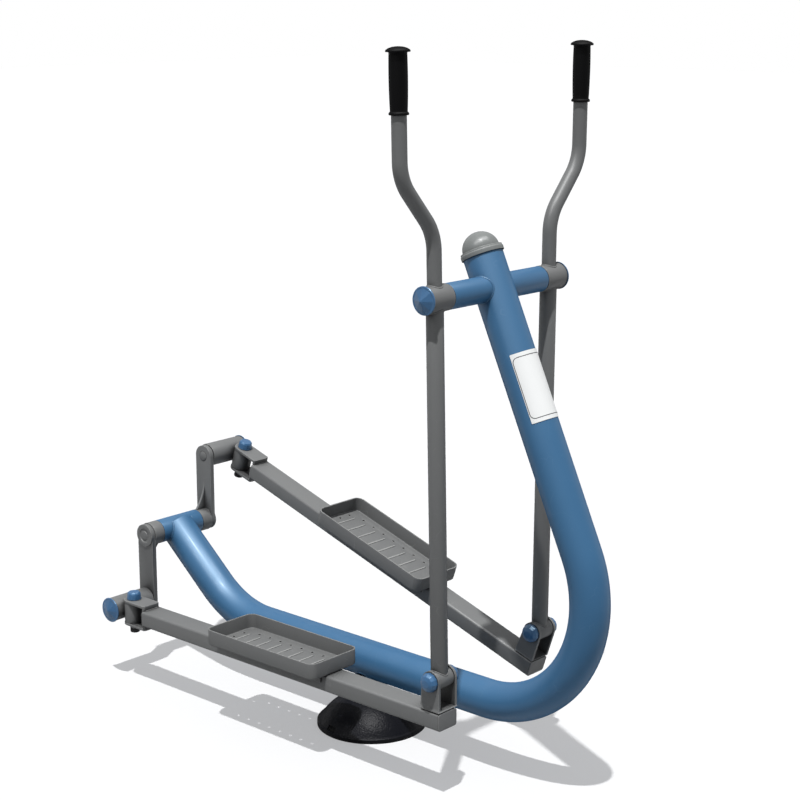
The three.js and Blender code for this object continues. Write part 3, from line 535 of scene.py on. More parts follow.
def bent_tube(name, radius, moves, sides=64):
    """Draws a tube from the origin along +X, by ("run", length) and ("bend", radius, angle,
    axis)."""
    piece = made(name, bpy.ops.mesh.primitive_circle_add, vertices=sides, radius=radius * MM,
                 rotation=(0, pi / 2, 0))
    begin_edit(piece)
    whole()
    here, heading = Vector((0, 0, 0)), Vector((1, 0, 0))
    for kind, amount, *more in moves:
        if kind == "bend":
            angle, axis = more[0], Vector(more[1])
            centre = here + axis.cross(heading) * amount
            bpy.ops.mesh.spin(steps=round(angle / BEND_STEP), angle=-angle,
                              center=centre * MM, axis=axis)
            turn = Quaternion(axis, angle)
            here = centre + turn @ (here - centre)
            heading = turn @ heading
        else:
            draw_out(*heading * amount)
            here = here + heading * amount
    whole()
    bpy.ops.mesh.fill_holes(sides=0)
    end_edit()
    print(name, "ends at", tuple(round(c, 1) for c in here))
    return piece


print("tube bender is ready")


# %% Plates, edges and cuts
def block(name, low, high):
    """A block between two corners, the raw stock of plates and beams."""
    low, high = Vector(low), Vector(high)
    return made(name, bpy.ops.mesh.primitive_cube_add, size=1, location=(low + high) / 2 * MM,
                scale=(high - low) * MM)


def round_sheet(name, radius, turn, sides=64):
    """A filled circle, turned so that its sides stand square to the axes."""
    return made(name, bpy.ops.mesh.primitive_circle_add, vertices=sides, radius=radius * MM,
                fill_type="NGON", rotation=turn)


def modify(piece, kind, **settings):
    """Adds a modifier with these settings and applies it."""
    only(piece)
    bpy.ops.object.modifier_add(type=kind)
    step = piece.modifiers[-1]
    for label, value in settings.items():
        setattr(step, label, value)
    bpy.ops.object.modifier_apply(modifier=step.name)
    return piece


def soften(piece, width, segments=3, angle=35, smooth=40):
    """Rounds all edges sharper than an angle, and shades the rest smooth."""
    only(piece)
    if width:
        modify(piece, "BEVEL", width=width * MM, segments=segments, limit_method="ANGLE",
               angle_limit=radians(angle))
    bpy.ops.object.shade_smooth_by_angle(angle=radians(smooth))
    return piece


def carve(piece, tool, how="DIFFERENCE"):
    """Cuts a tool away from a piece, or fuses it on."""
    modify(piece, "BOOLEAN", operation=how, solver="EXACT", object=tool)
    bpy.data.objects.remove(tool)


def fuse(piece, *others):
    for other in others:
        carve(piece, other, "UNION")


def joined(*pieces):
    """Several bodies as one piece."""
    only(*pieces)
    bpy.ops.object.join()
    return bpy.context.object


print("cutting helpers are ready")


# %% Copies at their places
def tell(piece, where="the bench"):
    """Prints a piece's size."""
    size = piece.dimensions / MM
    print(f"{piece.name}: {size.x:.0f} x {size.y:.0f} x {size.z:.0f} mm on {where}")


def fit(piece, name, place, body, look, node=None):
    """A copy of a piece, set down at its place on the walker and riding on a body."""
    only(piece)
    bpy.ops.object.duplicate()
    twin = bpy.context.object
    twin.name = name
    twin.matrix_world = place @ twin.matrix_world
    settle()
    if place.determinant() < 0:
        begin_edit(twin)
        end_edit()
    twin.data.materials.clear()
    twin.data.materials.append(look)
    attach(twin, body)
    if node:
        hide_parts(node)
    tell(twin, body)


def fit_frame(piece, name, place, look, node=None):
    """The piece on the frame, which needs only one of it."""
    fit(piece, name, place, "frame", look, node)
    bpy.data.objects.remove(piece)


def fit_sides(places, body, look, *rows):
    """Pieces on both sides, from rows of (piece, name) or (piece, name, node that it
    replaces). Names, bodies and nodes get the side's name."""
    for piece, name, *nodes in rows:
        for side in SIDES:
            fit(piece, f"{name}_{side}", places[side], f"{side}_{body}" if body else "crank",
                look, *[f"{node}_{side}" for node in nodes])
        bpy.data.objects.remove(piece)


print("copying helpers are ready")

# %% The welding torch
RIPPLE, RIPPLE_TURN = 0.13, 2.1


def weld(name, path, size=2.0, closed=True):
    """A round bead along a path of points, with the small ripples of a weld."""
    piece = made(name, bpy.ops.mesh.primitive_circle_add, vertices=len(path), radius=MM)
    piece.data.vertices.foreach_set("co", [c * MM for point in path for c in point])
    if not closed:
        begin_edit(piece, "EDGE")
        mesh = bmesh.from_edit_mesh(piece.data)
        for link in mesh.edges:
            link.select_set({v.index for v in link.verts} == {0, len(path) - 1})
        bpy.ops.mesh.delete(type="EDGE")
        end_edit(False)
    bpy.ops.object.convert(target="CURVE")
    bead = bpy.context.object.data
    bead.splines[0].use_cyclic_u = closed
    for i, point in enumerate(bead.splines[0].points):
        point.radius = 1 + RIPPLE * sin(i * RIPPLE_TURN)
    bead.bevel_depth, bead.bevel_resolution, bead.use_fill_caps = size * MM, 2, not closed
    bpy.ops.object.convert(target="MESH")
    only(bpy.context.object)
    bpy.ops.object.shade_smooth()
    return bpy.context.object


def around(count, point):
    """A closed path from a function of the angle."""
    return [point(tau * i / count) for i in range(count)]


def straight(start, end, count):
    """A straight path."""
    start, end = Vector(start), Vector(end)
    return [start.lerp(end, i / (count - 1)) for i in range(count)]


print("welding helpers are ready")

# %% [markdown]
# ## Main tube
# One 89 mm tube is bent twice on the real walker: a short rear leg, a level run and a mast
# that leans back. A curve with a round bevel could draw it, but the bender follows the real
# bends. The rear end is cut straight through the middle of the crank housing, so that the
# tube grips the housing from the front and its upper lip stands above it.

# %% Main tube
MAIN_RADIUS, BEND_RADIUS, RUN_HEIGHT = 44.4, 280, 161
LEG_SLOPE, MAST_LEAN, MAST_ABOVE, UNDER_CAP = radians(39.74), radians(24.5), 87, 6
LEG_PLACE, MAST_PLACE = spot(CRANK_AXIS, "Y", LEG_SLOPE), spot(TOP_AXIS, "Y", -MAST_LEAN)

leg = (CRANK_AXIS.z - RUN_HEIGHT) / sin(LEG_SLOPE)
leg_foot = CRANK_AXIS.x + leg * cos(LEG_SLOPE)
mast_foot = TOP_AXIS.x + (TOP_AXIS.z - RUN_HEIGHT) * tan(MAST_LEAN)
mast = (TOP_AXIS.z - RUN_HEIGHT) / cos(MAST_LEAN) + MAST_ABOVE
first_cut = BEND_RADIUS * tan(LEG_SLOPE / 2)
second_cut = BEND_RADIUS * tan((pi / 2 + MAST_LEAN) / 2)
main = bent_tube("main", MAIN_RADIUS, [
    ("run", leg - first_cut), ("bend", BEND_RADIUS, LEG_SLOPE, (0, -1, 0)),
    ("run", mast_foot - leg_foot - first_cut - second_cut),
    ("bend", BEND_RADIUS, pi / 2 + MAST_LEAN, (0, -1, 0)),
    ("run", mast - second_cut - UNDER_CAP)], sides=96)
fit_frame(soften(main, 1.2, angle=60), "main_tube_painted", LEG_PLACE, BLUE_PAINT, "main_tube")

# %% [markdown]
# ## Mast cap
# A pressed grey cap closes the mast: a skirt over the tube, a stepped collar and a dome. It
# is a turned shape, so the lathe makes it from one profile.

# %% Mast cap
CAP_RISE, CAP_RADIUS, COLLAR_RADIUS, COLLAR_HEIGHT = 39, 41, 48, 14
mast_top = TOP_AXIS + Vector((-sin(MAST_LEAN), 0, cos(MAST_LEAN))) * MAST_ABOVE
dome = [(CAP_RADIUS * cos(pi / 2 * i / 16), CAP_RISE * sin(pi / 2 * i / 16))
        for i in range(17)]
dome[-1] = (0, CAP_RISE)
cap = lathe("cap", [(0, -3), (44.8, -3), (44.8, -COLLAR_HEIGHT),
                    (COLLAR_RADIUS, -COLLAR_HEIGHT), (COLLAR_RADIUS, -5),
                    (COLLAR_RADIUS - 1.5, -4), (COLLAR_RADIUS - 1.5, 0)] + dome, 96)
fit_frame(soften(cap, 0.8), "mast_cap_pressed", spot(mast_top, "Y", -MAST_LEAN), PRESSED_GREY,
          "mast_cap")

# %% [markdown]
# ## Cross tube and crank housing
# Both are short tubes along Y, welded to the main tube. Their ends face the turning hubs,
# so a fine round edge there catches the light as on the real one.

# %% Cross tube and crank housing
CROSS_RADIUS, HOUSING_RADIUS = 28.5, 30
for name, radius, reach, bore, place in (
        ("cross_tube", CROSS_RADIUS, 158, 25.5, TOP_AXIS),
        ("crank_housing", HOUSING_RADIUS, 66, 27, CRANK_AXIS)):
    tube = soften(toward_y(rod(name + "_stock", radius, -reach, reach, 96, bore)), 0.8)
    fit_frame(tube, name + "_painted", spot(place), BLUE_PAINT, name)


# %% Welds of the main tube
def leg_joint(sign):
    """Where one flank of the leg meets the housing, from below to above."""
    reach = HOUSING_RADIUS + 0.3
    return [(reach * cos(a), sign * (sqrt(MAIN_RADIUS ** 2 - (reach * sin(a)) ** 2) + 0.2),
             reach * sin(a)) for a in [radians(-88 + 176 * i / 59) for i in range(60)]]


def cross_joint(sign):
    """Where the cross tube meets the mast."""
    return around(120, lambda a: (CROSS_RADIUS * cos(a), sign * sqrt(
        (MAIN_RADIUS + 0.3) ** 2 - (CROSS_RADIUS * cos(a)) ** 2), CROSS_RADIUS * sin(a)))


for name, joint, closed, place in (("weld_leg", leg_joint, False, LEG_PLACE),
                                   ("weld_mast", cross_joint, True, MAST_PLACE)):
    for mark, sign in (("_r", -1), ("_l", 1)):
        bead = weld(name + "_bead", joint(sign), closed=closed)
        fit_frame(bead, name + mark, place, BLUE_PAINT)

# %% [markdown]
# ## Foot
# Only a strip of the post shows between the tube and the black cover. The cover is a moulded
# dome with a low upright rim and a slot for the tool that lifts it. Its profile is turned
# and the slot is cut from it. A ring inside keeps the ground from showing through the slot.

# %% Post and domed cover
DOME_RADIUS, DOME_RIM, POST_RADIUS = 132, 12, 38
ARC_RADIUS, ARC_CENTRE, COVER_WALL = 151, -70, 3
SLOT_HALF, SLOT_INNER, SLOT_TURN, RING_OUTER, RING_INNER = 13, 116.7, -8, 116.4, 113
post = soften(rod("post", POST_RADIUS, 10.3, 130, bore=34), 0.5, 2)
fit_frame(post, "base_post_painted", Matrix(), BLUE_PAINT, "base_post")
neck = POST_RADIUS + 0.6


def dome_arc(inset, steps=24):
    """The dome's line from the rim to the neck, a part of a circle, inset by the wall."""
    radius = ARC_RADIUS - inset
    top = ARC_CENTRE + sqrt(radius ** 2 - neck ** 2)
    heights = [DOME_RIM + (top - DOME_RIM) * i / steps for i in range(steps + 1)]
    return [(sqrt(radius ** 2 - (z - ARC_CENTRE) ** 2), z) for z in heights]


cover = lathe("cover", [(DOME_RADIUS, 0), (DOME_RADIUS, 9.5), (DOME_RADIUS - 1.5, 11)]
              + dome_arc(0) + dome_arc(COVER_WALL)[::-1]
              + [(DOME_RADIUS - COVER_WALL, 8), (DOME_RADIUS - COVER_WALL, 0),
                 (DOME_RADIUS, 0)], 128)
carve(cover, block("slot", (-SLOT_HALF, -140, 11.5), (SLOT_HALF, -SLOT_INNER, 21.5)))
# The black ring stands in for the shade inside the cover, seen through the slot.
fuse(cover, rod("slot_back", RING_OUTER, 1, 24, 128, RING_INNER))
only(cover)
cover.rotation_euler = (0, 0, radians(SLOT_TURN))
settle()
fit_frame(soften(cover, 0.8, 2), "dome_cover_moulded", Matrix(), BLACK_PLASTIC, "dome_cover")
saddle = around(140, lambda a: (POST_RADIUS * cos(a), POST_RADIUS * sin(a), RUN_HEIGHT - sqrt(
    MAIN_RADIUS ** 2 - (POST_RADIUS * sin(a)) ** 2)))
fit_frame(weld("post_bead", saddle, 2.2), "weld_post", Matrix(), BLUE_PAINT)

# %% [markdown]
# ## Crank
# Each throw is a flat bar with round ends. A disc with a turned recess covers the shaft's
# end, and a curved web stiffens the bar. The bar starts as a disc, half of which is moved by
# the throw, so that its sides stay tangent to its ends.

# %% Crank bar with its disc
ARM_INNER, BAR_THICKNESS, BAR_RADIUS = 96.8, 12, 28
DISC_FACE = ARM_INNER + BAR_THICKNESS + 3
UPRIGHT = (pi / 2, pi / 64, 0)

bar = round_sheet("bar", BAR_RADIUS, UPRIGHT)
begin_edit(bar)
pick(bar, "VERT", lambda co, _: co.z > 0)
bpy.ops.transform.translate(value=mm(z=CRANK_THROW))
whole()
bpy.ops.transform.translate(value=mm(y=ARM_INNER))
draw_out(y=BAR_THICKNESS)
end_edit()
disc = toward_y(lathe("disc", [(r, DISC_FACE + z) for r, z in (
    (0, -6), (29, -6), (29, 0), (18.5, 0), (17.5, -1.6), (11, -1.6), (10, -0.2), (0, -0.2))]))
fuse(bar, disc)
tell(soften(bar, 1.0))

# %% [markdown]
# The web is a thin plate whose free edge is hollow. It is drawn as an edge that climbs the
# bar in small steps and shortens along a curve, and then gets its thickness.

# %% Web and hub of the crank
WEB_FOOT, WEB_TOP, WEB_INTO_BAR, WEB_THICKNESS, WEB_STEPS = 30.3, 100, 2, 6, 14
HUB_START, HUB_LENGTH, HUB_BORE, HUB_WELD_RADIUS = 67, 29.5, 13, 28.9
web = from_point("web", 0, ARM_INNER + WEB_INTO_BAR, WEB_FOOT)
wide = HUB_LENGTH + WEB_INTO_BAR
draw_out(y=-wide, by=bpy.ops.mesh.extrude_vertices_move)
whole()
for i in range(1, WEB_STEPS + 1):
    depth = WEB_INTO_BAR + HUB_LENGTH * (1 - i / WEB_STEPS) ** 1.9
    draw_out(z=(WEB_TOP - WEB_FOOT) / WEB_STEPS)
    bpy.ops.transform.resize(value=(1, depth / wide, 1),
                             center_override=mm(y=ARM_INNER + WEB_INTO_BAR))
    wide = depth
end_edit(False)
soften(modify(web, "SOLIDIFY", thickness=WEB_THICKNESS * MM, offset=0), 1.2)
hub = soften(toward_y(rod("hub", HOUSING_RADIUS, HUB_START, HUB_START + HUB_LENGTH, 96,
                          HUB_BORE)), 0.8)
crank_weld = weld("hub_ring", around(120, lambda a: (
    HUB_WELD_RADIUS * cos(a), ARM_INNER, HUB_WELD_RADIUS * sin(a))), 1.4)
pin_end = moved(toward_y(lathe("pin_end", [(0, 1.2), (12.6, 1.2), (12.6, -0.4), (11.8, -1.0),
                                           (0, -1.0)], 48)), 0, ARM_INNER, CRANK_THROW)
soften(pin_end, 0)
fit_sides({"right": spot(CRANK_AXIS, "X", pi), "left": spot(CRANK_AXIS)}, "", GREY_PAINT,
          (bar, "crank_bar", "crank_arm"), (web, "crank_web"),
          (hub, "crank_hub_turned", "crank_hub"), (crank_weld, "weld_crank"),
          (pin_end, "crank_pin_end"))

# %% [markdown]
# ## Arms
# Each arm turns on the cross tube: a hub, a straight tube down to the fork, and a handle
# tube that steps outward in two equal bends. They are modelled once for the left side, in
# the arm's own frame, and mirrored for the right.

# %% Arm hub, lower tube and sleeve
HUB_RADIUS, LOWER_RADIUS, SLEEVE_RADIUS, HANDLE_RADIUS = 29, 19, 22, 16
HUB_INNER_END, HUB_OUTER_END, ARM_HUB_BORE = -34, 32.5, 26
SLEEVE_REACH, BOLT_BORE, INTO_SLEEVE, INTO_HUB = 23.3, 8.4, 8, -20
arm_hub = soften(toward_y(rod("arm_hub", HUB_RADIUS, HUB_INNER_END, HUB_OUTER_END, 96,
                              ARM_HUB_BORE)), 0.8)
lower = soften(rod("lower", LOWER_RADIUS, INTO_SLEEVE - ARM_LENGTH, INTO_HUB, 64), 0.5, 2)
sleeve = toward_y(rod("sleeve", SLEEVE_RADIUS, -SLEEVE_REACH, SLEEVE_REACH, bore=BOLT_BORE))
soften(moved(sleeve, z=-ARM_LENGTH), 0.8)


def tee_joint(small, large, height=0.0, side=1, lift=0.2):
    """Where an upright tube meets a level one along Y."""
    return around(110, lambda a: (small * cos(a), small * sin(a), height + side * sqrt(
        (large + lift) ** 2 - (small * cos(a)) ** 2)))


arm_welds = joined(
    weld("w1", tee_joint(LOWER_RADIUS, HUB_RADIUS, side=-1), 1.7),
    weld("w2", tee_joint(HANDLE_RADIUS, HUB_RADIUS), 1.7),
    weld("w3", tee_joint(LOWER_RADIUS, SLEEVE_RADIUS, -ARM_LENGTH), 1.5))

# %% Handle tube
HANDLE_BEND, HANDLE_ANGLE, GRIP_OFFSET = 100, radians(41), 101
HANDLE_FOOT, HANDLE_START, GRIP_FOOT, INTO_GRIP = 20, 99, 381.8, 100
shoulder = HANDLE_BEND * tan(HANDLE_ANGLE / 2)
slant = GRIP_OFFSET / sin(HANDLE_ANGLE)
rise = HANDLE_START + shoulder + GRIP_OFFSET / tan(HANDLE_ANGLE) + shoulder
handle = bent_tube("handle", HANDLE_RADIUS, [
    ("run", HANDLE_START - HANDLE_FOOT), ("bend", HANDLE_BEND, HANDLE_ANGLE, (0, 0, 1)),
    ("run", slant - 2 * shoulder), ("bend", HANDLE_BEND, HANDLE_ANGLE, (0, 0, -1)),
    ("run", GRIP_FOOT + INTO_GRIP - rise)])
soften(handle, 0)
only(handle)
handle.matrix_world = Matrix.Translation(mm(z=HANDLE_FOOT)) @ Matrix.Rotation(-pi / 2, 4, "Y")
settle()
tell(handle)

# %% [markdown]
# ## Hand grips
# The grip is one rubber moulding: a round ring at its foot, a barrel that swells a little,
# and a mushroom head. It is turned from a profile with the swell drawn point by point.

# %% Hand grip
barrel = [(17.9 + 0.8 * i / 18 + 1.1 * sin(pi * i / 18) ** 0.8, 8 + 6.3 * i)
          for i in range(1, 18)]
grip = lathe("grip", [(16.3, 122), (16.3, 0), (19.6, 0), (20.5, 0.8), (20.8, 2.4), (20.6, 4.2),
                      (19.4, 5.8), (18.1, 6.6), (17.9, 8)] + barrel
             + [(18.7, 121.5), (19.6, 123), (24.6, 123.4), (25.4, 124.4), (25.3, 126.2),
                (24.2, 128), (19, 131.2), (12, 133.4), (5, 134.3), (0, 134.5), (0, 122),
                (16.3, 122)], 72)
soften(grip, 0.3, 2)
moved(grip, 0, GRIP_OFFSET, GRIP_FOOT)

# %% Arms on both sides
fit_sides(ARM_PLACE, "arm", GREY_PAINT, (arm_hub, "arm_hub_turned", "arm_hub"),
          (lower, "arm_lower_painted", "arm_lower_tube"),
          (sleeve, "arm_sleeve_turned", "arm_sleeve"), (handle, "handle_painted", "handle_tube"))
fit_sides(ARM_PLACE, "arm", RUBBER, (grip, "grip_moulded", "grip"))
fit_sides(ARM_PLACE, "arm", GREY_PAINT, (arm_welds, "weld_arm"))

# %% [markdown]
# ## Blue caps
# Moulded caps close the hubs and the pin housings. Each has a round rim and a low pyramid of
# flat faces, which breaks the light into wedges. The pyramid is fused onto a turned rim.


# %% End caps of hubs and housings
def end_cap(name, radius, height, plug, facets=8):
    """A cap facing +Y, with its seat at y = 0."""
    rim = lathe(name, [(0, -6), (plug, -6), (plug, 0), (radius, 0), (radius, 2.0),
                       (radius - 1.2, 3.0), (0, 3.0)], 96)
    fuse(rim, made("pyramid", bpy.ops.mesh.primitive_cone_add, vertices=facets,
                   radius1=(radius - 1.4) * MM, radius2=0, depth=(height - 2.0) * MM,
                   location=mm(z=(height + 2.0) / 2)))
    return toward_y(soften(rim, 0.5, 2, angle=12, smooth=9))


HUB_CAP_SEAT, PIN_CAP_SEAT = HUB_OUTER_END + 0.3, 35.8
hub_cap = moved(end_cap("hub_cap", 30.8, 15, 25.7), y=HUB_CAP_SEAT)
pin_cap = moved(end_cap("pin_cap", 31.8, 12, 26.7), y=PIN_CAP_SEAT)
fit_sides(ARM_PLACE, "arm", BLUE_PLASTIC, (hub_cap, "hub_cap_moulded", "hub_cap"))
fit_sides(BEAM_PLACE, "pin_housing", BLUE_PLASTIC, (pin_cap, "pin_cap_moulded", "pin_cap"))

# %% [markdown]
# ## Beams
# The beams are 60 by 40 mm rectangular tubes with rounded corners, closed at the front by a
# thin plate. A block with its four long edges bevelled gives the section.

# %% Beam and its end plate
BEAM_HALF_WIDTH, BEAM_HALF_HEIGHT, BEAM_CORNER = 30, 20, 6
BEAM_START, BEAM_END, PLUG_START, PLUG_END = 114, 1100.7, 1101, 1104


def beam_stock(name, start, end):
    """A length of the beam's section, with its long edges rounded."""
    piece = block(name, (start, -BEAM_HALF_WIDTH, -BEAM_HALF_HEIGHT),
                  (end, BEAM_HALF_WIDTH, BEAM_HALF_HEIGHT))
    begin_edit(piece)
    pick(piece, "EDGE", lambda middle, way: abs(way.x) > 0.9)
    bpy.ops.mesh.bevel(offset=BEAM_CORNER * MM, segments=6)
    end_edit()
    return piece


beam = soften(beam_stock("beam", BEAM_START, BEAM_END), 0.6, 2, angle=60)
plug = soften(beam_stock("plug", PLUG_START, PLUG_END), 0.9, angle=60)
fit_sides(BEAM_PLACE, "beam", GREY_PAINT, (beam, "beam_painted", "beam"),
          (plug, "beam_end_plate", "beam_plug"))

# %% [markdown]
# ## Forks
# Two ears on a base plate hold the arm's sleeve. An ear is a half disc that is drawn down to
# the base and widens to the rear on the way. The base has a narrower lip underneath, which
# leaves a dark groove above the beam.

# %% Fork bracket
EAR_THICKNESS, EAR_TOP_RADIUS, FORK_REAR, FORK_FRONT = 6, 24, 29, 24
FORK_FOOT, BASE_TOP, EAR_SHOULDER, LIP_INSET = 20.3, 26.3, 34.3, 4


def fork_ear(name, y):
    """One ear, its lower end sunk into the base."""
    ear = round_sheet(name, EAR_TOP_RADIUS, UPRIGHT)
    begin_edit(ear)
    whole()
    bpy.ops.mesh.bisect(plane_co=(0, 0, 0), plane_no=(0, 0, 1), clear_inner=True)
    for step, scale in ((PIVOT_ABOVE - EAR_SHOULDER, (FORK_REAR + FORK_FRONT)
                         / (2 * EAR_TOP_RADIUS)), (EAR_SHOULDER - BASE_TOP + 3, 1)):
        draw_out(z=-step)
        bpy.ops.transform.resize(value=(scale, 1, 1), center_override=mm(EAR_TOP_RADIUS))
    whole()
    draw_out(y=EAR_THICKNESS)
    end_edit()
    return moved(ear, PIVOT_ALONG, y, PIVOT_ABOVE)


rear, front, half = PIVOT_ALONG - FORK_REAR, PIVOT_ALONG + FORK_FRONT, BEAM_HALF_WIDTH
fork = fork_ear("fork", half - EAR_THICKNESS)
fuse(fork, fork_ear("ear", -half),
     block("base", (rear, -half, FORK_FOOT + 3), (front, half, BASE_TOP)),
     block("lip", (rear + LIP_INSET, LIP_INSET - half, FORK_FOOT),
           (front - LIP_INSET, half - LIP_INSET, BASE_TOP - 1.5)))
soften(fork, 0.9)
fit_sides(BEAM_PLACE, "beam", GREY_PAINT, (fork, "fork_welded", "fork_bracket"))

# %% [markdown]
# The fork's bolt is hidden under two domed caps. They are moulded with few, flat faces in
# three bands, so the lathe takes only twelve steps here and the faces are left flat.

# %% Fork caps
FORK_CAP_SEAT = BEAM_HALF_WIDTH + 0.3
for name, turn, y in (("fork_cap_outer", 0, FORK_CAP_SEAT), ("fork_cap_inner", pi, -FORK_CAP_SEAT)):
    fork_cap = toward_y(lathe("fork_cap", [
        (0, 15.4), (18.4, 9), (18.4, 0), (21.5, 0), (21.5, 4.4), (20.8, 8.3), (16.8, 14.4),
        (9, 17.9), (0, 18.5)], 12))
    soften(fork_cap, 0.45, 2, angle=8, smooth=5)
    local = spot(Vector((PIVOT_ALONG, y, PIVOT_ABOVE)), "X", turn)
    fit_sides({side: BEAM_PLACE[side] @ local for side in SIDES}, "beam", BLUE_PLASTIC,
              (fork_cap, name + "_moulded", name))

# %% [markdown]
# ## Foot trays
# The tray is pressed sheet: a floor with round corners and low upright walls. It starts as a
# block, gets its round corners and its top edge, and then loses its inside, so that the wall
# keeps one thickness. Drain holes are cut through the floor, and low ribs give grip.

# %% Tray shell
TRAY_MIDDLE, TRAY_LENGTH, TRAY_WIDTH, TRAY_HEIGHT = 586, 360, 154, 39
TRAY_FOOT, TRAY_WALL, TRAY_FLOOR, TRAY_CORNER, TRAY_FOLD = 20.3, 3, 3, 20, 5.5


def tray_stock(name, inset, foot, top, fold):
    """A block with round corners and a round lower edge, smaller by the inset all round."""
    x, y = TRAY_LENGTH / 2 - inset, TRAY_WIDTH / 2 - inset
    piece = block(name, (-x, -y, foot), (x, y, top))
    begin_edit(piece)
    pick(piece, "EDGE", lambda middle, way: abs(way.z) > 0.9)
    bpy.ops.mesh.bevel(offset=(TRAY_CORNER - inset) * MM, segments=10)
    pick(piece, "EDGE", lambda middle, way: middle.z < foot + 0.1)
    bpy.ops.mesh.bevel(offset=fold * MM, segments=5)
    end_edit()
    return piece


tray = tray_stock("tray", 0, 0, TRAY_HEIGHT, TRAY_FOLD)
carve(tray, tray_stock("hollow", TRAY_WALL, TRAY_FLOOR, TRAY_HEIGHT + 10,
                       TRAY_FOLD - TRAY_WALL))
tell(tray)

# %% Drain holes
HOLE_RADIUS, HOLE_ROW_REACH, HOLE_STEP, HOLE_ROW_OFFSET = 3.2, 126, 36, 51
END_HOLE_AT, END_HOLE_STEP = 162, 34


def hole_row(x, y, step, count, bore=0.0):
    """A row of drills, or of dark rings that paint the shade inside the holes, made from one by an
    array.
    """
    drill = rod("drill", HOLE_RADIUS, *((0.2, 2.8) if bore else (-5, 10)), 24, bore)
    return modify(moved(drill, x, y), "ARRAY", count=count, use_relative_offset=False,
                  use_constant_offset=True, constant_offset_displace=mm(*step))


def hole_rows(sign, bore=0.0):
    """The long row of one side and the short row of one end."""
    return (hole_row(-HOLE_ROW_REACH, sign * HOLE_ROW_OFFSET, (HOLE_STEP, 0), 8, bore),
            hole_row(sign * END_HOLE_AT, -END_HOLE_STEP, (0, END_HOLE_STEP), 3, bore))


for sign in (-1, 1):
    for row in hole_rows(sign):
        carve(tray, row)
soften(tray, 0.6, angle=40)

# %% Tread ribs, dark rings that paint shade in the holes, and side flanges
RIB_WIDTH, RIB_REACH, RIB_COUNT, SHADE_RING_BORE = 4.4, 37, 9, 2.6
FLANGE_AT, FLANGE_LENGTH, FLANGE_DROP, FLANGE_INNER, FLANGE_OUTER = 145, 36, 19, 30.3, 34.3
ribs = joined(*[soften(block("rib", (x - RIB_WIDTH / 2, -RIB_REACH, TRAY_FLOOR - 1.5),
                             (x + RIB_WIDTH / 2, RIB_REACH, TRAY_FLOOR + 1.7)), 1.4)
                for x in [HOLE_STEP * (i - RIB_COUNT // 2) for i in range(RIB_COUNT)]])
# The dark rings in the drain holes are painted shade on the holes' walls.
hole_shade_linings = joined(*hole_rows(-1, SHADE_RING_BORE), *hole_rows(1, SHADE_RING_BORE))
flanges = joined(*[soften(block("flange", (x - FLANGE_LENGTH / 2, low, -FLANGE_DROP),
                                (x + FLANGE_LENGTH / 2, high, 1.5)), 1.0)
                   for x in (-FLANGE_AT, FLANGE_AT)
                   for low, high in ((-FLANGE_OUTER, -FLANGE_INNER),
                                     (FLANGE_INNER, FLANGE_OUTER))])
for look, part, *names in ((TRAY_GREY, tray, "tray_pressed", "foot_tray"),
                           # the ribs' lighter grey is a painted highlight
                           (RIB_HIGHLIGHT_GREY, ribs, "tray_ribs"),
                           (DARK_STEEL_AND_HOLE_SHADE, hole_shade_linings, "tray_hole_linings"),
                           (GREY_PAINT, flanges, "tray_flanges")):
    moved(part, TRAY_MIDDLE, 0, TRAY_FOOT)
    fit_sides(BEAM_PLACE, "beam", look, (part, *names))

# %% [markdown]
# ## Swivels
# Behind each beam an upright sleeve turns between two folded plates, and is welded to the
# housing on the crank pin. A plate starts as half a disc, is drawn out to the fold, and its
# last strip is drawn down onto the beam.

# %% Yoke plates
SWIVEL_AT, YOKE_INNER, YOKE_THICKNESS, YOKE_RADIUS = 51, 26.4, 6, 26
YOKE_FOLD, FOLD_CORNER = 68, 5.5
yoke = round_sheet("yoke", YOKE_RADIUS, (0, 0, pi / 64))
begin_edit(yoke)
whole()
bpy.ops.mesh.bisect(plane_co=(0, 0, 0), plane_no=(1, 0, 0), clear_outer=True)
draw_out(x=YOKE_FOLD - YOKE_THICKNESS)
draw_out(x=YOKE_THICKNESS)
whole()
draw_out(z=YOKE_THICKNESS)
whole()
bpy.ops.mesh.normals_make_consistent(inside=False)
pick(yoke, "FACE", lambda middle, normal: normal.z < -0.9
     and middle.x > YOKE_FOLD - YOKE_THICKNESS)
draw_out(z=BEAM_HALF_HEIGHT + 0.3 - YOKE_INNER)
whole()
bpy.ops.mesh.dissolve_limited(angle_limit=radians(1))
pick(yoke, "EDGE", lambda middle, way: abs(way.z) > 0.9 and middle.x > YOKE_FOLD - 0.5)
bpy.ops.mesh.bevel(offset=FOLD_CORNER * MM, segments=5)
end_edit()
tell(soften(moved(yoke, SWIVEL_AT, 0, YOKE_INNER), 1.2))

# %% Yoke plates on both sides, above and below
fold_at, fold_height, fold_reach = SWIVEL_AT + YOKE_FOLD + 0.2, BEAM_HALF_HEIGHT + 0.4, 20
fold_weld = weld("fold_weld", straight((fold_at, -fold_reach, fold_height),
                                       (fold_at, fold_reach, fold_height), 36), 1.3, closed=False)
for part, name, node in ((yoke, "yoke_plate_folded", "yoke_plate"),
                         (fold_weld, "weld_yoke", None)):
    for side in SIDES:
        for level, turn in (("upper", Matrix()), ("lower", Matrix.Rotation(pi, 4, "X"))):
            fit(part, f"{name}_{level}_{side}", BEAM_PLACE[side] @ turn, f"{side}_beam",
                GREY_PAINT, f"{node}_{level}_{side}" if node else None)
    bpy.data.objects.remove(part)

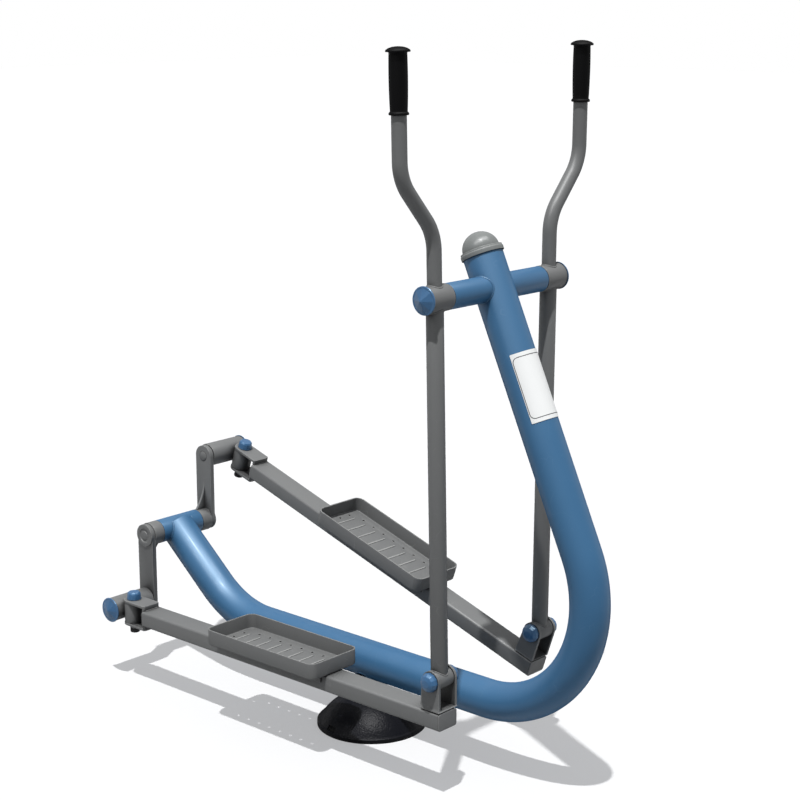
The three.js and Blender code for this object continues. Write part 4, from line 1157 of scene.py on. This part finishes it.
# %% Swivel bolt, its nut and its cap
stud = rod("stud", 7.8, -50, 38, 32)
head = lathe("head", [(0, 32.7), (13, 32.7), (13, 43.8), (12, 45), (0, 45)], 6)
foot = lathe("foot", [(0, -55.6), (9.5, -55.6), (11.8, -54.6), (12.5, -52.5), (12.5, -44.9),
                      (0, -44.9)], 32)
bolt = joined(head, stud, foot)
nut = lathe("nut", [(8, -44.6), (12.2, -44.6), (13, -43.6), (13, -33.9), (12.2, -32.8),
                    (8, -32.8), (8, -44.6)], 6)
for part in (bolt, nut):
    soften(part, 0.5, 2, angle=25)
    moved(part, SWIVEL_AT)
fit_sides(BEAM_PLACE, "beam", DARK_STEEL_AND_HOLE_SHADE, (bolt, "swivel_bolt_turned", "swivel_bolt"))
fit_sides(BEAM_PLACE, "beam", GREY_PAINT, (nut, "swivel_nut"))
CAP_SEAT = 32.7
swivel_cap = lathe("swivel_cap", [(0, 16), (13, 16), (14.5, 0), (18.5, 0), (18.5, 2.2),
                                  (18.1, 2.8), (16.9, 14.6), (14, 18.9), (0, 19)], 12)
soften(swivel_cap, 0.45, 2, angle=12, smooth=9)
fit_sides(BEAM_PLACE, "beam", BLUE_PLASTIC,
          (moved(swivel_cap, SWIVEL_AT, 0, CAP_SEAT), "swivel_cap_moulded", "swivel_cap"))

# %% Housing on the crank pin
PIN_HOUSING_INNER, PIN_HOUSING_OUTER, HOUSING_BORE = 110.8 - ARM_OFFSET, 35.5, 27
UPRIGHT_RADIUS, UPRIGHT_REACH, WELD_REACH = 25, 26.1, 25
pin_housing = soften(toward_y(rod("pin_housing", HOUSING_RADIUS, PIN_HOUSING_INNER,
                                  PIN_HOUSING_OUTER, 96, HOUSING_BORE)), 0.8)
upright = soften(rod("upright", UPRIGHT_RADIUS, -UPRIGHT_REACH, UPRIGHT_REACH, bore=BOLT_BORE),
                 0.9)
moved(upright, SWIVEL_AT)


def sleeve_joint(sign):
    """The line where the upright sleeve meets the level housing, on one side."""
    points = []
    for i in range(36):
        z = WELD_REACH * (2 * i / 35 - 1)
        x = sqrt(HOUSING_RADIUS ** 2 - z ** 2) + 0.2
        aside = sqrt(max(0, (UPRIGHT_RADIUS + 0.2) ** 2 - (SWIVEL_AT - x) ** 2))
        points.append((x, sign * aside, z))
    return points


sleeve_weld = joined(*[weld("sleeve_weld", sleeve_joint(sign), 1.3, closed=False)
                       for sign in (-1, 1)])
fit_sides(BEAM_PLACE, "pin_housing", GREY_PAINT,
          (pin_housing, "pin_housing_turned", "pin_housing"), (upright, "swivel_sleeve"),
          (sleeve_weld, "weld_sleeve"))

# %% [markdown]
# ## Plate on the mast
# A white plate is fixed to the mast. It is left blank, with a thin printed border. Plate and
# border start flat: their corners are rounded, an inset leaves the border's line, and cuts
# across them let them bend. Each point is then moved onto the tube's round.

# %% Blank plate
PLATE_LENGTH, PLATE_ARC, PLATE_MIDDLE = 153.4, radians(137), -229.7
plate_width = PLATE_ARC * (MAIN_RADIUS + 0.2)


def flat_sheet(name, width, length, corner, border=0.0):
    """A flat sheet with round corners, standing across Y, or only its border."""
    sheet = made(name, bpy.ops.mesh.primitive_plane_add, size=1, rotation=(pi / 2, 0, 0))
    sheet.scale = (width * MM, 1, length * MM)
    settle()
    begin_edit(sheet)
    whole()
    bpy.ops.mesh.bevel(offset=corner * MM, segments=8, affect="VERTICES")
    bpy.ops.mesh.select_mode(type="FACE")
    whole()
    if border:
        bpy.ops.mesh.inset(thickness=border * MM)
        bpy.ops.mesh.delete(type="FACE")
    return sheet


def wrap(sheet, radius, thickness, cuts=48):
    """Cuts a sheet into strips, thickens it and winds it round the Z axis, bulging to +X."""
    for i in range(1, cuts):
        whole()
        bpy.ops.mesh.bisect(plane_co=mm((i / cuts - 0.5) * plate_width), plane_no=(1, 0, 0))
    end_edit(False)
    begin_edit(modify(sheet, "SOLIDIFY", thickness=thickness * MM, offset=0))
    end_edit()
    for vertex in sheet.data.vertices:
        angle = vertex.co.x / (radius * MM)
        reach = radius * MM - vertex.co.y
        vertex.co.x, vertex.co.y = reach * cos(angle), reach * sin(angle)
    return soften(sheet, 0)


plate = wrap(flat_sheet("plate", plate_width, PLATE_LENGTH, 1.5), MAIN_RADIUS + 0.7, 1.0)
line = wrap(flat_sheet("line", plate_width - 1.6, PLATE_LENGTH - 17, 12, border=1.5),
            MAIN_RADIUS + 1.25, 0.3)
for sheet, name, look in ((plate, "blank_plate", WHITE_PLATE), (line, "plate_border", PLATE_LINE)):
    fit_frame(sheet, name, MAST_PLACE @ Matrix.Translation(mm(z=PLATE_MIDDLE)), look)

# %% Finish the carried-over nodes
for name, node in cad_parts.items():
    if node.hide_render:
        continue
    node.data.materials.clear()
    node.data.materials.append(STEEL)
    print("steel:", name)
